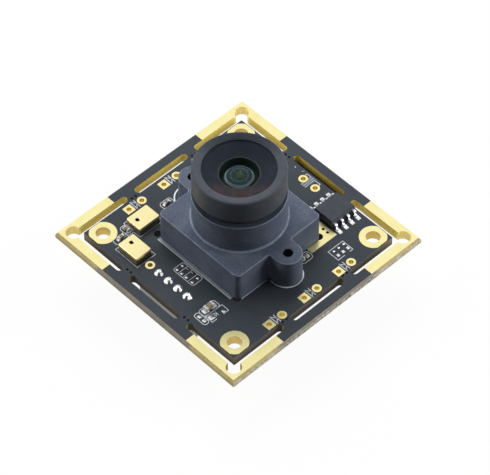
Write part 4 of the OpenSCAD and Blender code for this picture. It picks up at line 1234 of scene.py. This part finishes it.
def make_floor(half=1500):
    """A wide square in the height of the connector's lower end."""
    bm = bmesh.new()
    corners = box_points(-half, -half, half, half)
    bm.faces.new([bm.verts.new((x * MM, y * MM, FLOOR_Z * MM)) for x, y in corners])
    add_object("floor", finished_mesh("floor", bm, floor_look()))


def make_world(ambient=0.06):
    """A white background that gives the object only a little light."""
    world = bpy.data.worlds.new("studio")
    bpy.context.scene.world = world
    shading = Shading(world)
    strength = shading.remap(shading.rays(*VIEW_RAYS), ambient, 1.0, 0, 1)
    shading.feed(shading.tree.nodes["Background"], {"Color": (1, 1, 1, 1), "Strength": strength})


def add_area_light(name, direction, distance, size, power, mirrored=True):
    """A square lamp that faces the middle of the board, and shows in metal and glass or not."""
    lamp = bpy.data.lights.new(name, "AREA")
    lamp.shape = "SQUARE"
    lamp.size = size * MM
    lamp.energy = power
    holder = add_object(name, lamp)
    away = Vector(direction).normalized()
    holder.location = away * distance * MM
    holder.rotation_euler = away.to_track_quat("Z", "Y").to_euler()
    holder.visible_glossy = mirrored


# Camera as fitted to the photo: angles in degrees and lengths in millimetres
CAMERA_AZIMUTH = 46.566
CAMERA_ELEVATION = 50.530
CAMERA_ROLL = -0.372
CAMERA_DISTANCE = 400.063
CAMERA_RIGHT = 1.031
CAMERA_UP = -0.354
CAMERA_LENS = 200.5


def add_camera():
    """Looks down at the board from its +X, -Y corner."""
    turn = Matrix.Rotation(math.radians(CAMERA_AZIMUTH), 4, "Z")
    turn = turn @ Matrix.Rotation(math.radians(90 - CAMERA_ELEVATION), 4, "X")
    turn = turn @ Matrix.Rotation(math.radians(CAMERA_ROLL), 4, "Z")
    away = turn @ Vector((CAMERA_RIGHT, CAMERA_UP, CAMERA_DISTANCE))
    data = bpy.data.cameras.new("camera")
    data.sensor_width, data.lens = 36, CAMERA_LENS
    data.clip_start, data.clip_end = 0.01, 10
    camera = add_object("camera", data)
    camera.matrix_world = Matrix.Translation((Vector((0, 0, TOP)) + away) * MM) @ turn
    bpy.context.scene.camera = camera


add_camera()
for node, look in NODE_LOOKS.items():
    dress_node(node, look)
make_lens_holder()
make_lens_barrel()
make_front_lens()
make_microphones()
make_chip_parts()
make_memory_leads()
make_tinned_pads()
make_pin_solder()
make_print()
make_underside()
make_slot_shadow_sheet()
make_floor()
make_world()
add_area_light("behind", (-0.553, 0.317, 0.75), 420, 300, 1.65, mirrored=False)
add_area_light("right_side", (0.62, 0.70, 0.42), 420, 240, 1.25)
add_area_light("left_side", (-0.70, -0.58, 0.42), 420, 240, 0.88)
add_area_light("below", (0.05, -0.05, -1), 500, 500, 1.1)
bpy.context.scene.view_settings.view_transform = "Standard"
